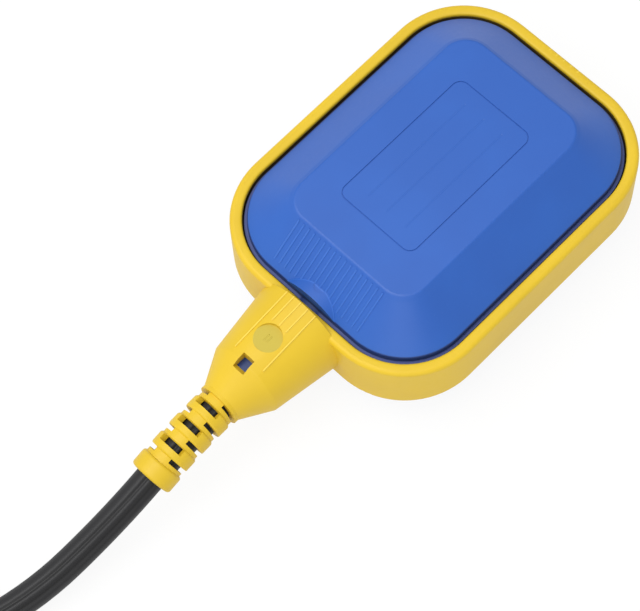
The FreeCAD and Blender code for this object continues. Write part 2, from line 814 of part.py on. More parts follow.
def makeRod(name, radius, length, x, y, z, direction):
    rod = doc.addObject("Part::Cylinder", name)
    rod.Label = name
    rod.Placement = Placement(Vector(), Rotation(Vector(0, 0, 1), Vector(*direction)))
    bind(rod, "Radius", radius)
    bind(rod, "Height", length)
    bind(rod, ".Placement.Base.x", x)
    bind(rod, ".Placement.Base.y", y)
    bind(rod, ".Placement.Base.z", z)
    return rod


def makeFuse(label, pieces):
    joined = doc.addObject("Part::MultiFuse", label)
    joined.Label = label
    joined.Shapes = pieces
    joined.Refine = True
    return joined


def makeCut(label, base, tool):
    cutPiece = doc.addObject("Part::Cut", label)
    cutPiece.Label = label
    cutPiece.Base = base
    cutPiece.Tool = tool
    return cutPiece


def makeCable():
    addShape("cable", checkedTube(cableRoute, float(cableRadius), "cable"))
    heldEndX = cavityEndX + tieWidth + heldReach
    makeRod("cable_inner", cableRadius, heldEndX - cableRoute[0].x, cableRoute[0].x, 0.0, middle, (1, 0, 0))
    return heldEndX


# Coil of the cable's remaining length: turns side by side in layers. A straight lead meets the route, and
# a straight tail leaves the top layer along X, with the three stripped cores at its end.
def makeCoil():
    width = cableRadius * 2 * coilTurnsAcross
    height = cableRadius * 2 * coilLayers
    outerTurn = coilMeanRadius + width / 2 - cableRadius
    run = cableRoute[-2] - cableRoute[-1]
    run.normalize()
    centreX = cableRoute[-1].x - (coilLeadLength * run.x - outerTurn * run.y)
    centreY = cableRoute[-1].y - (coilLeadLength * run.y + outerTurn * run.x)
    body = newBody("coil_turns")
    bind(body, ".Placement.Base.x", centreX)
    bind(body, ".Placement.Base.y", centreY)
    ring = newSketch(body, "XY")
    addCircle(ring, 0.0, 0.0, coilMeanRadius + width / 2)
    addCircle(ring, 0.0, 0.0, coilMeanRadius - width / 2)
    block = pad(body, ring, height)
    body.Tip = fillet(body, block, lambda edge: edge.BoundBox.ZLength < 1e-4, coilEdgeRadius)
    lead = makeRod("coil_lead", cableRadius - coilEase, coilLeadLength, centreX - outerTurn * run.y,
                   centreY + outerTurn * run.x, cableRadius, (run.x, run.y, 0))
    tailY = centreY - outerTurn
    tailZ = height - cableRadius
    tail = makeRod("coil_tail", cableRadius - coilEase, coilTailLength, centreX, tailY, tailZ, (1, 0, 0))
    makeFuse("cable_coil", [body, lead, tail])
    tailX = centreX + coilTailLength
    coreSpread = (coreRadius + coreFit) * 2 / math.sqrt(3.0)
    for index, colour in enumerate(("brown", "blue", "black")):
        around = math.radians(90 + 120 * index)
        coreY = tailY + coreSpread * math.cos(around)
        coreZ = tailZ + coreSpread * math.sin(around)
        sleeve = makeRod(colour + "_sleeve", coreRadius, coreEndLength, tailX, coreY, coreZ, (1, 0, 0))
        strand = makeRod(colour + "_strand", conductorRadius, coreEndLength + conductorLength,
                         tailX, coreY, coreZ, (1, 0, 0))
        makeFuse(colour + "_core_end", [sleeve, strand])


def makeCableSeal():
    body = newBody("cable_seal", middle)
    start = spigotEndX + sealFromSpigotEnd
    outline = newSketch(body, "XZ")
    fine = sealLength / 5
    bore = cableRadius
    low = sealRadius - sealRibDepth
    addPolygon(outline, [
        (start, bore),
        (start, sealRadius),
        (start + fine, sealRadius),
        (start + fine, low),
        (start + fine * 2, low),
        (start + fine * 2, sealRadius),
        (start + fine * 3, sealRadius),
        (start + fine * 3, low),
        (start + fine * 4, low),
        (start + fine * 4, sealRadius),
        (start + sealLength, sealRadius),
        (start + sealLength, bore),
    ])
    revolve(body, "Revolution", outline, "H_Axis")


def makeCableTie():
    band = makeRod("tie_band", cableRadius + tieThickness, tieWidth, cavityEndX, 0.0, middle, (1, 0, 0))
    head = makeBox("tie_head", cavityEndX, cavityEndX + tieWidth, -(tieHeadWidth / 2), tieHeadWidth / 2,
                   middle + cableRadius, middle + cableRadius + tieHeadHeight)
    hole = makeRod("tie_hole", cableRadius, tieWidth, cavityEndX, 0.0, middle, (1, 0, 0))
    makeCut("cable_tie", makeFuse("tie_blank", [band, head]), hole)


# Cores from the end of the held cable over the track cover to the snap switch's tags
def makeCores(heldEndX):
    start = float(heldEndX)
    radius = float(coreRadius)
    tagHeight = float(switchTopZ + terminalLength / 2)
    beside = float(terminalThickness / 2 + coreRadius + coreFit)
    beyond = beside + 2.0 * radius + float(coreParting)
    apart = beside + float(coreParting)
    tags = [float(switchMiddleX + terminalSpacing * step) for step in (-1, 0, 1)]
    reach = float(terminalWidth) / 2
    spread = (radius + float(coreFit + coreParting)) * 2.0 / math.sqrt(3.0)
    lanes = (
        ("brown", 90.0, beside, [(tags[0] + reach, beside)]),
        ("blue", 210.0, -apart, [(tags[1] + reach, -beside)]),
        ("black", 330.0, beyond, [(tags[1], beyond), (tags[2] - reach, beside), (tags[2] + reach, beside)]),
    )
    straight, rise, settle, below = 5.0, 6.0, 13.0, 3.0
    for colour, angle, lane, ends in lanes:
        turn = math.radians(angle)
        firstY = spread * math.cos(turn)
        firstZ = float(middle) + spread * math.sin(turn)
        points = [
            Vector(start, firstY, firstZ),
            Vector(start + straight, firstY, firstZ),
            Vector(start + straight + rise, lane, tagHeight - below),
            Vector(start + straight + rise + settle, lane, tagHeight),
        ]
        points += [Vector(x, y, tagHeight) for x, y in ends]
        addShape(colour + "_core", checkedTube(points, radius, colour + " core"))


def makeCarrier():
    body = newBody("switch_carrier")
    wallTop = coverBottomZ
    floor = newSketch(body, "XY", shellWall)
    addRectangle(floor, trackStartX - trackWall, switchBackX, -carrierHalfWidth, carrierHalfWidth)
    pad(body, floor, trackFloor)
    walls = newSketch(body, "XY", shellWall)
    addRectangle(walls, trackStartX - trackWall, trackEndX + trackWall, -carrierHalfWidth, carrierHalfWidth)
    pad(body, walls, wallTop - shellWall)
    channel = newSketch(body, "XY", trackFloorZ)
    addRectangle(channel, trackStartX, trackEndX, -trackHalfWidth, trackHalfWidth)
    pocket(body, channel, wallTop, reverse=True)
    notch = newSketch(body, "XY", pivotZ - leverHubRadius - coverClearance)
    gap = leverWidth / 2 + earFit
    addRectangle(notch, trackEndX - 1, trackEndX + trackWall + 1, -gap, gap)
    pocket(body, notch, wallTop, reverse=True)

    # Ears for the lever's pin; the rear one rises as the snap switch's bracket
    wallEndX = trackEndX + trackWall
    bracket = newSketch(body, "XZ", -(gap + earThickness))
    addPolygon(bracket, [
        (wallEndX, shellWall),
        (switchBackX, shellWall),
        (switchBackX, switchTopZ),
        (switchFrontX, switchTopZ),
        (switchFrontX, wallTop),
        (wallEndX, wallTop),
    ])
    pad(body, bracket, earThickness)
    ear = newSketch(body, "XZ", gap)
    earTop = pivotZ + leverHubRadius
    addRectangle(ear, wallEndX, pivotX + leverHubRadius * 1.6, shellWall, earTop)
    pad(body, ear, earThickness)
    pinBore = newSketch(body, "XZ")
    addCircle(pinBore, pivotX, pivotZ, pinRadius)
    pocket(body, pinBore, carrierHalfWidth * 2, midplane=True)
    screwBores = newSketch(body, "XZ")
    for side in (-1, 1):
        addCircle(screwBores, switchMiddleX + switchScrewSpacing / 2 * side,
                  switchBottomZ + switchScrewHeight, screwRadius)
    pocket(body, screwBores, carrierHalfWidth)

    # Side rails and lugs; the lugs stand on the lower shell's bosses
    rails = newSketch(body, "XY", shellWall)
    addRectangle(rails, wallEndX, switchBackX, carrierHalfWidth - trackWall, carrierHalfWidth)
    addRectangle(rails, wallEndX, switchBackX, -carrierHalfWidth, trackWall - carrierHalfWidth)
    pad(body, rails, bossHeight + lugThickness)
    lugs = newSketch(body, "XY", shellWall + bossHeight)
    for across in (-bossX, bossX):
        for up in (-1, 1):
            near = carrierHalfWidth * up
            far = (lugY + bossRadius) * up
            low, high = (near, far) if up > 0 else (far, near)
            addRectangle(lugs, across - bossRadius, across + bossRadius, low, high)
    pad(body, lugs, lugThickness)
    lugHoles = newSketch(body, "XY", shellWall + bossHeight)
    for across in (-bossX, bossX):
        for up in (-lugY, lugY):
            addCircle(lugHoles, across, up, screwRadius + screwFit)
    pocket(body, lugHoles, lugThickness, reverse=True)


def makeCarrierScrews():
    seat = shellWall + bossHeight + lugThickness
    pieces = []
    for across in (-bossX, bossX):
        for up in (-lugY, lugY):
            shank = makeRod("carrier_shank", screwRadius, bossHeight + lugThickness, across, up,
                            shellWall, (0, 0, 1))
            head = makeRod("carrier_head", screwHeadRadius, screwHeadHeight, across, up, seat, (0, 0, 1))
            pieces += [shank, head]
    makeFuse("carrier_screws", pieces)


def makeTrackCover():
    left = trackStartX - trackWall
    right = switchFrontX - trackWall
    low = coverBottomZ
    block = makeBox("cover_block", left, right, -carrierHalfWidth, carrierHalfWidth, low, low + coverHeight)
    hollow = makeBox("cover_hollow", left + coverWall, right + 1, -(carrierHalfWidth - coverWall),
                     carrierHalfWidth - coverWall, low - 1, low + coverHeight - coverWall)
    makeCut("track_cover", block, hollow)


def makeBall():
    ball = doc.addObject("Part::Sphere", "steel_ball")
    ball.Label = "steel_ball"
    bind(ball, "Radius", ballRadius)
    bind(ball, ".Placement.Base.x", ballStartX)
    bind(ball, ".Placement.Base.z", ballCentreZ)


# Where the lever's underside clears the ball after a share of its travel, in the lever's own frame
def camPoint(share):
    def ballCentre(part):
        across = float(ballStartX) + float(ballTravel) * part - float(pivotX)
        up = float(ballCentreZ - pivotZ)
        turn = math.radians(float(leverSwing)) * part
        return Vector(across * math.cos(turn) - up * math.sin(turn), 0,
                      across * math.sin(turn) + up * math.cos(turn))

    along = ballCentre(share + 0.01) - ballCentre(share - 0.01)
    along.normalize()
    normal = Vector(-along.z, 0, along.x)
    pivot = Vector(float(pivotX), 0, float(pivotZ))
    return pivot + ballCentre(share) + normal * float(ballRadius + leverFit), along


# Lever with a curved underside, so that the ball lifts it evenly along its whole travel
def makeLever():
    tip, tipSlope = camPoint(0.0)
    halfway, _ = camPoint(0.5)
    inner, _ = camPoint(1.0)
    top = float(leverTopZ)
    x, z = float(pivotX), float(pivotZ)
    hub = float(leverHubRadius)
    end = tip - tipSlope * 2.0
    hubFoot = Vector(x, 0, z - hub)
    hubTop = Vector(x, 0, top)
    endTop = Vector(end.x, 0, top)
    outline = Part.Wire([
        Part.LineSegment(end, tip).toShape(),
        Part.Arc(tip, halfway, inner).toShape(),
        Part.LineSegment(inner, hubFoot).toShape(),
        Part.LineSegment(hubFoot, hubTop).toShape(),
        Part.LineSegment(hubTop, endTop).toShape(),
        Part.LineSegment(endTop, end).toShape(),
    ])
    width = float(leverWidth)
    blade = Part.Face(outline).extrude(Vector(0, width, 0))
    blade.translate(Vector(0, -width / 2, 0))
    boss = Part.makeCylinder(hub, width, Vector(x, -width / 2, z), Vector(0, 1, 0))
    bore = Part.makeCylinder(float(pinRadius + pinFit), width * 2, Vector(x, -width, z), Vector(0, 1, 0))
    addShape("ball_lever", blade.fuse(boss).cut(bore).removeSplitter())


def makeLeverPin():
    reach = leverWidth / 2 + earFit + earThickness
    makeRod("lever_pin", pinRadius, reach * 2, pivotX, -reach, pivotZ, (0, 1, 0))


def makeSnapSwitch():
    rear = leverWidth / 2 + earFit
    front = rear - switchDepth
    parting = front + switchCoverDepth
    case = newBody("switch_case")
    block = newSketch(case, "XZ", -rear)
    addRectangle(block, switchFrontX, switchBackX, switchBottomZ, switchTopZ)
    pad(case, block, switchDepth - switchCoverDepth)
    shaft = newSketch(case, "XY", switchBottomZ)
    side = buttonWidth / 2 + buttonSlideFit
    depth = buttonDepth / 2 + buttonSlideFit
    addRectangle(shaft, buttonX - side, buttonX + side, -depth, depth)
    room = (buttonFromPivot + buttonWidth) * (leverSwing / math.degrees(1.0))
    pocket(case, shaft, buttonInside + room, reverse=True)
    holes = newSketch(case, "XZ")
    for way in (-1, 1):
        addCircle(holes, switchMiddleX + switchScrewSpacing / 2 * way, switchBottomZ + switchScrewHeight,
                  screwRadius + screwFit)
    pocket(case, holes, switchDepth * 2, midplane=True)
    cover = newBody("switch_cover")
    plate = newSketch(cover, "XZ", -parting)
    addRectangle(plate, switchFrontX, switchBackX, switchBottomZ, switchTopZ)
    for way in (-1, 1):
        addCircle(plate, switchMiddleX + switchScrewSpacing / 2 * way, switchBottomZ + switchScrewHeight,
                  screwRadius + screwFit)
    pad(cover, plate, switchCoverDepth)
    makeBox("switch_button", buttonX - buttonWidth / 2, buttonX + buttonWidth / 2, -buttonDepth / 2,
            buttonDepth / 2, leverTopZ + buttonFit, switchBottomZ + buttonInside)
    for index, label in enumerate(("common_terminal", "open_terminal", "closed_terminal")):
        centre = switchMiddleX + terminalSpacing * (index - 1)
        makeBox(label, centre - terminalWidth / 2, centre + terminalWidth / 2, -terminalThickness / 2,
                terminalThickness / 2, switchTopZ, switchTopZ + terminalLength)
    pieces = []
    for way in (-1, 1):
        screwX = switchMiddleX + switchScrewSpacing / 2 * way
        screwZ = switchBottomZ + switchScrewHeight
        shank = makeRod("switch_shank", screwRadius, switchDepth + earThickness, screwX, front, screwZ,
                        (0, 1, 0))
        head = makeRod("switch_head", screwHeadRadius, screwHeadHeight, screwX, front - screwHeadHeight,
                       screwZ, (0, 1, 0))
        pieces += [shank, head]
    makeFuse("switch_screws", pieces)


nodeNames = [
    "yellow_frame", "upper_shell", "lower_shell", "cable", "cable_coil", "cable_inner", "cable_seal",
    "cable_tie", "brown_core", "blue_core", "black_core", "switch_carrier", "carrier_screws",
    "track_cover", "steel_ball", "ball_lever", "lever_pin", "switch_case", "switch_cover",
    "switch_button", "common_terminal", "open_terminal", "closed_terminal", "switch_screws",
    "brown_core_end", "blue_core_end", "black_core_end",
]

makeYellowFrame()
makeUpperShell()
makeLowerShell()
makeCores(makeCable())
makeCoil()
makeCableSeal()
makeCableTie()
makeCarrier()
makeCarrierScrews()
makeTrackCover()
makeBall()
makeLever()
makeLeverPin()
makeSnapSwitch()
doc.recompute()

failed = [item.Name for item in doc.Objects if "Invalid" in item.State or "Error" in item.State]
if failed:
    raise SystemExit("failed objects: " + ", ".join(failed))
os.makedirs("parts", exist_ok=True)
for name in nodeNames:
    node = doc.getObjectsByLabel(name)[0]
    shape = node.Shape
    if shape.isNull() or not shape.isValid() or not shape.Solids:
        raise SystemExit("bad shape: " + name)
    shape.exportStep("parts/" + name + ".step")
    print(f"{name}: {len(shape.Solids)} solid, {len(shape.Faces)} faces, {shape.Volume:.0f} mm3")
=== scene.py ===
import math

import bmesh
import bpy
from mathutils import Matrix, Vector


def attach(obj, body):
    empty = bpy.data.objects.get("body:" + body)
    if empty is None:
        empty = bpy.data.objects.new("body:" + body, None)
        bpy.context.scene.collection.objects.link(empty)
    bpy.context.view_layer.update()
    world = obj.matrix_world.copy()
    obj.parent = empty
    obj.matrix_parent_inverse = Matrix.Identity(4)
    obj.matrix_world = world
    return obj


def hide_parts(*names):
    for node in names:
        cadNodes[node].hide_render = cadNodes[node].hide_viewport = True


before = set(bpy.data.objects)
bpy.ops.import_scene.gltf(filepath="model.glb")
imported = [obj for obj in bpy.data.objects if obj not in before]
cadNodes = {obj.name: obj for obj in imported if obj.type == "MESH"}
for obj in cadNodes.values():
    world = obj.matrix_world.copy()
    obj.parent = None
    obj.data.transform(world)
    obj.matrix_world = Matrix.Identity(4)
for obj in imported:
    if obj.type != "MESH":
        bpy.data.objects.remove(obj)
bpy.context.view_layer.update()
scene = bpy.context.scene
scene.view_settings.view_transform = "Standard"
print("frame loaded:", len(cadNodes), "nodes")


# Camera fitted to the outline of the yellow frame; lengths in metres, angles in degrees
cameraFit = {
    "target": (0.0, 0.0, 0.02075),
    "azimuth": -41.92,
    "elevation": 66.49,
    "roll": -4.21,
    "distance": 0.66453,
    "aimRight": 0.03171,
    "aimUp": 0.02954,
    "lens": 135.0,
    "sensor": 36.0,
    "clip": (0.01, 10.0),
}


def makeCamera(fit):
    azimuth, elevation, roll = (math.radians(fit[key]) for key in ("azimuth", "elevation", "roll"))
    right = Vector((math.cos(azimuth), math.sin(azimuth), 0.0))
    back = Vector((
        math.sin(azimuth) * math.cos(elevation),
        -math.cos(azimuth) * math.cos(elevation),
        math.sin(elevation),
    ))
    up = back.cross(right)
    turnedRight = right * math.cos(roll) + up * math.sin(roll)
    turnedUp = up * math.cos(roll) - right * math.sin(roll)
    place = Vector(fit["target"]) + back * fit["distance"]
    place -= turnedRight * fit["aimRight"] + turnedUp * fit["aimUp"]
    data = bpy.data.cameras.new("photoCamera")
    data.lens = fit["lens"]
    data.sensor_width = fit["sensor"]
    data.clip_start, data.clip_end = fit["clip"]
    camera = bpy.data.objects.new("photoCamera", data)
    turn = Matrix((turnedRight, turnedUp, back)).transposed().to_4x4()
    camera.matrix_world = Matrix.Translation(place) @ turn
    scene.collection.objects.link(camera)
    scene.camera = camera


makeCamera(cameraFit)
print("camera placed")


# Wraps a shader socket, so that sums and products of values add their Math nodes
class Wire:
    def __init__(self, sheet, socket):
        self.sheet = sheet
        self.socket = socket

    def join(self, operation, *values):
        return self.sheet.add("ShaderNodeMath", {"operation": operation}, dict(enumerate(values)))

    def __add__(self, other):
        return self.join("ADD", self, other)

    def __radd__(self, other):
        return self.join("ADD", other, self)

    def __sub__(self, other):
        return self.join("SUBTRACT", self, other)

    def __rsub__(self, other):
        return self.join("SUBTRACT", other, self)

    def __mul__(self, other):
        return self.join("MULTIPLY", self, other)

    def __truediv__(self, other):
        return self.join("DIVIDE", self, other)

    def size(self):
        return self.join("ABSOLUTE", self)

    def most(self, other):
        return self.join("MAXIMUM", self, other)

    def least(self, other):
        return self.join("MINIMUM", self, other)

    def root(self):
        return self.join("SQRT", self)

    def part(self):
        return self.join("FRACT", self)

    # 0 below low, 1 above high, smooth between them
    def step(self, low, high):
        return self.sheet.add(
            "ShaderNodeMapRange", {"interpolation_type": "SMOOTHSTEP"},
            {"Value": self, "From Min": low, "From Max": high, "To Min": 0.0, "To Max": 1.0})

    # 1 between two steps, 0 outside them
    def band(self, lower, upper):
        return self.step(*lower) * (1.0 - self.step(*upper))


# A material being made: its nodes, and one method that adds any of them
class Sheet:
    def __init__(self, name):
        self.material = bpy.data.materials.new(name)
        self.material.use_nodes = True
        self.tree = self.material.node_tree
        self.tree.nodes.clear()
        self.output = self.tree.nodes.new("ShaderNodeOutputMaterial")

    def add(self, kind, settings=None, inputs=None, output=0):
        node = self.tree.nodes.new(kind)
        for key, value in (settings or {}).items():
            setattr(node, key, value)
        for key, value in (inputs or {}).items():
            if isinstance(value, Wire):
                self.tree.links.new(value.socket, node.inputs[key])
            else:
                node.inputs[key].default_value = value
        return Wire(self, node.outputs[output])

    def place(self):
        return self.add("ShaderNodeTexCoord", output="Object")

    def axes(self, vector):
        node = self.tree.nodes.new("ShaderNodeSeparateXYZ")
        self.tree.links.new(vector.socket, node.inputs[0])
        return [Wire(self, socket) for socket in node.outputs]

    def noise(self, vector, scale, detail=2.0, roughness=0.5):
        return self.add("ShaderNodeTexNoise", None, {
            "Vector": vector, "Scale": scale, "Detail": detail, "Roughness": roughness})

    # Inputs 6 and 7 and output 2 of the Mix node are its colours
    def blend(self, factor, first, second):
        return self.add("ShaderNodeMix", {"data_type": "RGBA"}, {
            0: factor, 6: first, 7: second}, output=2)

    # Lays a tint over a colour where the mask is 1; a tint is a colour and how far it covers
    def lay(self, colour, mask, tint):
        return self.blend(mask * tint[1], colour, tint[0])

    def bump(self, height, distance, strength, below=None):
        inputs = {"Height": height, "Distance": distance, "Strength": strength}
        if below:
            inputs["Normal"] = below
        return self.add("ShaderNodeBump", None, inputs)

    def finish(self, colour, roughness, normal, **constants):
        inputs = {"Base Color": colour, "Roughness": roughness, "Normal": normal}
        inputs.update({key.replace("_", " "): value for key, value in constants.items()})
        shader = self.add("ShaderNodeBsdfPrincipled", None, inputs)
        self.tree.links.new(shader.socket, self.output.inputs[0])
        return self.material


def paint(red, green, blue):
    return (red, green, blue, 1.0)


# The float body's outline, in millimetres: the frame's outer half sizes and corner, and the body's
# half thickness, which is also the height of its middle
bodyOutline = {
    "halfLength": 53.5,
    "halfWidth": 40.5,
    "corner": 24.5,
    "middle": 20.75,
}


# How far a point lies inside the frame's outline, which runs parallel to every ledge and lip
def insetFrom(outline, along, across):
    pastX = along.size() - (outline["halfLength"] - outline["corner"])
    pastY = across.size() - (outline["halfWidth"] - outline["corner"])
    cornerX, cornerY = pastX.most(0.0), pastY.most(0.0)
    reach = (cornerX * cornerX + cornerY * cornerY).root()
    return outline["corner"] - reach - pastX.most(pastY).least(0.0)


# Blue shells. A pair of numbers is the low and high end of a soft step: of a noise's value, or in
# mm of the height above or below the body's middle or of the inset from its outline.
blueLook = {
    "base": paint(0.0075, 0.095, 0.440),
    "deep": paint(0.0065, 0.087, 0.414),
    "rule": (paint(0.0065, 0.087, 0.414), 0.35),
    "crest": (paint(0.035, 0.150, 0.560), 0.55),
    "fleck": (paint(0.26, 0.38, 0.68), 0.55),
    "step": (paint(0.004, 0.018, 0.105), 0.85),
    "ledge": (paint(0.048, 0.074, 0.250), 0.9),
    "seam": (paint(0.003, 0.004, 0.010), 1.0),
    "cloudScale": 38.0,
    "cloudStep": (0.35, 0.65),
    "cloudRoughness": 0.10,
    "fineScale": 900.0,
    "fineRoughness": 0.08,
    "grainScale": 2600.0,
    "grainDepth": 0.00004,
    "grainStrength": 0.35,
    "fleckScale": 5200.0,
    "fleckStep": (0.755, 0.80),
    "patchScale": 190.0,
    "patchStep": (0.56, 0.68),
    "roughness": 0.46,
    "dirtRoughness": 0.2,
    "edgeRoughness": 0.16,
    "refraction": 1.52,
    "coat": 0.25,
    "coatRoughness": 0.4,
    "ledgeTop": (7.75, 7.90),
    "ledgeInset": (3.95, 4.15),
    "seamInset": (3.85, 4.05),
    "stepTop": (9.75, 10.10),
    "edgeFoot": (19.4, 19.9),
    "edgeTop": (20.70, 20.74),
}
# Plain ruled lines inside the rating panel, in mm: centre across and half length of each
panelRules = {
    "lines": [(-6.75, 19.0), (0.0, 19.0), (6.75, 19.0)],
    "halfWidth": 0.17,
    "edge": (-0.08, 0.10),
    "above": (20.4, 20.6),
    "depth": 0.00008,
    "strength": 0.7,
}
# The flank that faces the cable, in mm: a point on it, its slope in degrees, and the heights above
# it between which the crests of the grip ribs lie
ribFlank = {
    "x": -48.7,
    "height": 9.7,
    "slope": 40.69,
    "crestFoot": (0.08, 0.20),
    "crestTop": (0.35, 0.40),
    "above": (9.8, 10.0),
}


# What the two large mouldings share: clouded colour, roughness that varies with the clouds and with
# a finer noise, and the grain of the mould
def makeSurface(sheet, place, look):
    cloud = sheet.noise(place, look["cloudScale"], 3.0)
    fine = sheet.noise(place, look["fineScale"], 1.0)
    colour = sheet.blend(cloud.step(*look["cloudStep"]), look["deep"], look["base"])
    roughness = look["roughness"] + (cloud - 0.5) * look["cloudRoughness"]
    roughness += (fine - 0.5) * look["fineRoughness"]
    grain = sheet.noise(place, look["grainScale"])
    return colour, roughness, sheet.bump(grain, look["grainDepth"], look["grainStrength"])


def ruledLines(rules, along, across, height):
    drawn = []
    for centre, halfLength in rules["lines"]:
        inside = (halfLength - along.size()).least(rules["halfWidth"] - (across - centre).size())
        drawn.append(inside.step(*rules["edge"]))
    together = drawn[0]
    for line in drawn[1:]:
        together = together.most(line)
    return together * height.step(*rules["above"])


# Painted highlight: a band along the crests of the grip ribs, where the shell is painted lighter
def ribCrests(flank, along, height):
    slope = math.radians(flank["slope"])
    above = (height - flank["height"]) * math.cos(slope) - (along - flank["x"]) * math.sin(slope)
    return above.band(flank["crestFoot"], flank["crestTop"]) * height.step(*flank["above"])


def makeShellBlue(look):
    sheet = Sheet("shellBlue")
    place = sheet.place()
    x, y, z = sheet.axes(place)
    along, across = x * 1000.0, y * 1000.0
    height = (z * 1000.0 - bodyOutline["middle"]).size()
    inset = insetFrom(bodyOutline, along, across)
    rules = ruledLines(panelRules, along, across, height)
    low = 1.0 - height.step(*look["ledgeTop"])
    ledge = low * inset.step(*look["ledgeInset"])
    seam = low * (1.0 - inset.step(*look["seamInset"]))
    patch = sheet.noise(place, look["patchScale"]).step(*look["patchStep"])
    fleck = sheet.noise(place, look["fleckScale"], 1.0).step(*look["fleckStep"]) * patch
    edge = height.band(look["edgeFoot"], look["edgeTop"])
    colour, roughness, grain = makeSurface(sheet, place, look)
    colour = sheet.lay(colour, rules, look["rule"])
    # Painted highlight on the crests of the grip ribs
    colour = sheet.lay(colour, ribCrests(ribFlank, along, height), look["crest"])
    colour = sheet.lay(colour, fleck, look["fleck"])
    # Painted shade: everything below the top of the step, the step wall under the frame's lip among
    # it, is darkened to navy
    colour = sheet.lay(colour, 1.0 - height.step(*look["stepTop"]), look["step"])
    # Painted shade: the ledge under the frame's lip is painted greyer and darker
    colour = sheet.lay(colour, ledge, look["ledge"])
    # Painted shade: the ledge's outer edge in the gap by the yellow frame is painted near black
    colour = sheet.lay(colour, seam, look["seam"])
    roughness += (fleck + seam) * look["dirtRoughness"] + edge * look["edgeRoughness"]
    relief = sheet.bump(1.0 - rules, panelRules["depth"], panelRules["strength"], grain)
    return sheet.finish(colour, roughness, relief, IOR=look["refraction"],
                        Coat_Weight=look["coat"], Coat_Roughness=look["coatRoughness"])


# Yellow moulding
yellowLook = {
    "base": paint(0.700, 0.475, 0.0178),
    "deep": paint(0.655, 0.441, 0.0168),
    "soil": (paint(0.42, 0.30, 0.06), 0.06),
    "seam": (paint(0.030, 0.018, 0.006), 0.92),
    "stripe": (paint(0.84, 0.64, 0.09), 0.5),
    "dimple": (paint(0.46, 0.385, 0.055), 0.75),
    "cloudScale": 42.0,
    "cloudStep": (0.3, 0.7),
    "cloudRoughness": 0.12,
    "fineScale": 700.0,
    "fineRoughness": 0.08,
    "grainScale": 2300.0,
    "grainDepth": 0.00004,
    "grainStrength": 0.3,
    "soilScale": 260.0,
    "soilStep": (0.62, 0.80),
    "roughness": 0.50,
    "refraction": 1.43,
    "neckTop": (6.0, 8.0),
}
# Painted shade low on the wall of the opening, beside the shells; it ends where the neck begins
openingSeam = {
    "inset": (3.30, 3.42),
    "height": (8.45, 8.85),
    "end": (52.0, 52.5),
}
# Painted highlight on the tops of the neck's five raised stripes, in mm; their edges in pitches
neckStripes = {
    "pitch": 2.6,
    "edge": (0.07, 0.11),
    "side": (5.5, 5.7),
    "outer": (3.8, 4.0),
    "start": (52.0, 52.4),
    "shortEnd": 60.6,
    "longerBy": 11.4,
    "fade": (-0.2, 0.2),
}
# Dimple of the neck with its two short gate lines, in mm
neckDimple = {
    "along": -64.8,
    "edge": (3.9, 4.15),
    "lineAcross": 0.5,
    "lineEdge": (0.10, 0.25),
    "lineEnd": (1.0, 1.2),
    "lineHeight": 0.0002,
    "lineStrength": 0.6,
}


def stripeTops(plan, along, across):
    beside = ((across / plan["pitch"] + 0.5).part() - 0.5).size()
    wide = (1.0 - beside.step(*plan["edge"])) * (1.0 - across.size().step(*plan["side"]))
    end = plan["shortEnd"] + across.size().step(*plan["outer"]) * plan["longerBy"]
    past = (along.size() - end).step(*plan["fade"])
    return wide * (1.0 - past) * along.size().step(*plan["start"])


def makeFrameYellow(look):
    sheet = Sheet("frameYellow")
    place = sheet.place()
    x, y, z = sheet.axes(place)
    along, across = x * 1000.0, y * 1000.0
    height = z * 1000.0 - bodyOutline["middle"]
    top = height.step(*look["neckTop"])
    soil = sheet.noise(place, look["soilScale"], 4.0, 0.65).step(*look["soilStep"])
    seam = insetFrom(bodyOutline, along, across).step(*openingSeam["inset"])
    seam *= 1.0 - height.size().step(*openingSeam["height"])
    seam *= 1.0 - (0.0 - along).step(*openingSeam["end"])
    fromDimple = along - neckDimple["along"]
    away = (fromDimple * fromDimple + across * across).root()
    dimple = (1.0 - away.step(*neckDimple["edge"])) * top
    lines = 1.0 - (across.size() - neckDimple["lineAcross"]).size().step(*neckDimple["lineEdge"])
    lines *= (1.0 - fromDimple.size().step(*neckDimple["lineEnd"])) * dimple
    colour, roughness, grain = makeSurface(sheet, place, look)
    colour = sheet.lay(colour, soil, look["soil"])
    # Painted shade: the lower wall of the opening is darkened near black
    colour = sheet.lay(colour, seam, look["seam"])
    # Painted highlight on the tops of the neck's raised stripes
    colour = sheet.lay(colour, stripeTops(neckStripes, along, across) * top, look["stripe"])
    # Painted shade: the dimple's recess is darkened to olive
    colour = sheet.lay(colour, dimple, look["dimple"])
    relief = sheet.bump(lines, neckDimple["lineHeight"], neckDimple["lineStrength"], grain)
    return sheet.finish(colour, roughness, relief, IOR=look["refraction"])


# Cable jacket: drawn streaks along it, dust, and shade in its grooves
rubberLook = {
    "base": paint(0.012, 0.012, 0.0135),
    "dust": paint(0.042, 0.042, 0.045),
    "groove": (paint(0.003, 0.003, 0.0035), 0.85),
    "roughness": 0.52,
    "streaksAround": 9.0,
    "streaksAlong": 1.2,
    "streakDepth": 0.00006,
    "streakStrength": 0.5,
    "streakRoughness": 0.16,
    "cloudScale": 60.0,
    "cloudMiddle": 0.4,
    "cloudShare": 0.12,
    "dustScale": 1500.0,
    "dustStep": (0.60, 0.78),
    "dustShare": 0.35,
    "dustRoughness": 0.18,
    "grainScale": 2800.0,
    "grainDepth": 0.00003,
    "grainStrength": 0.4,
    "refraction": 1.44,
}


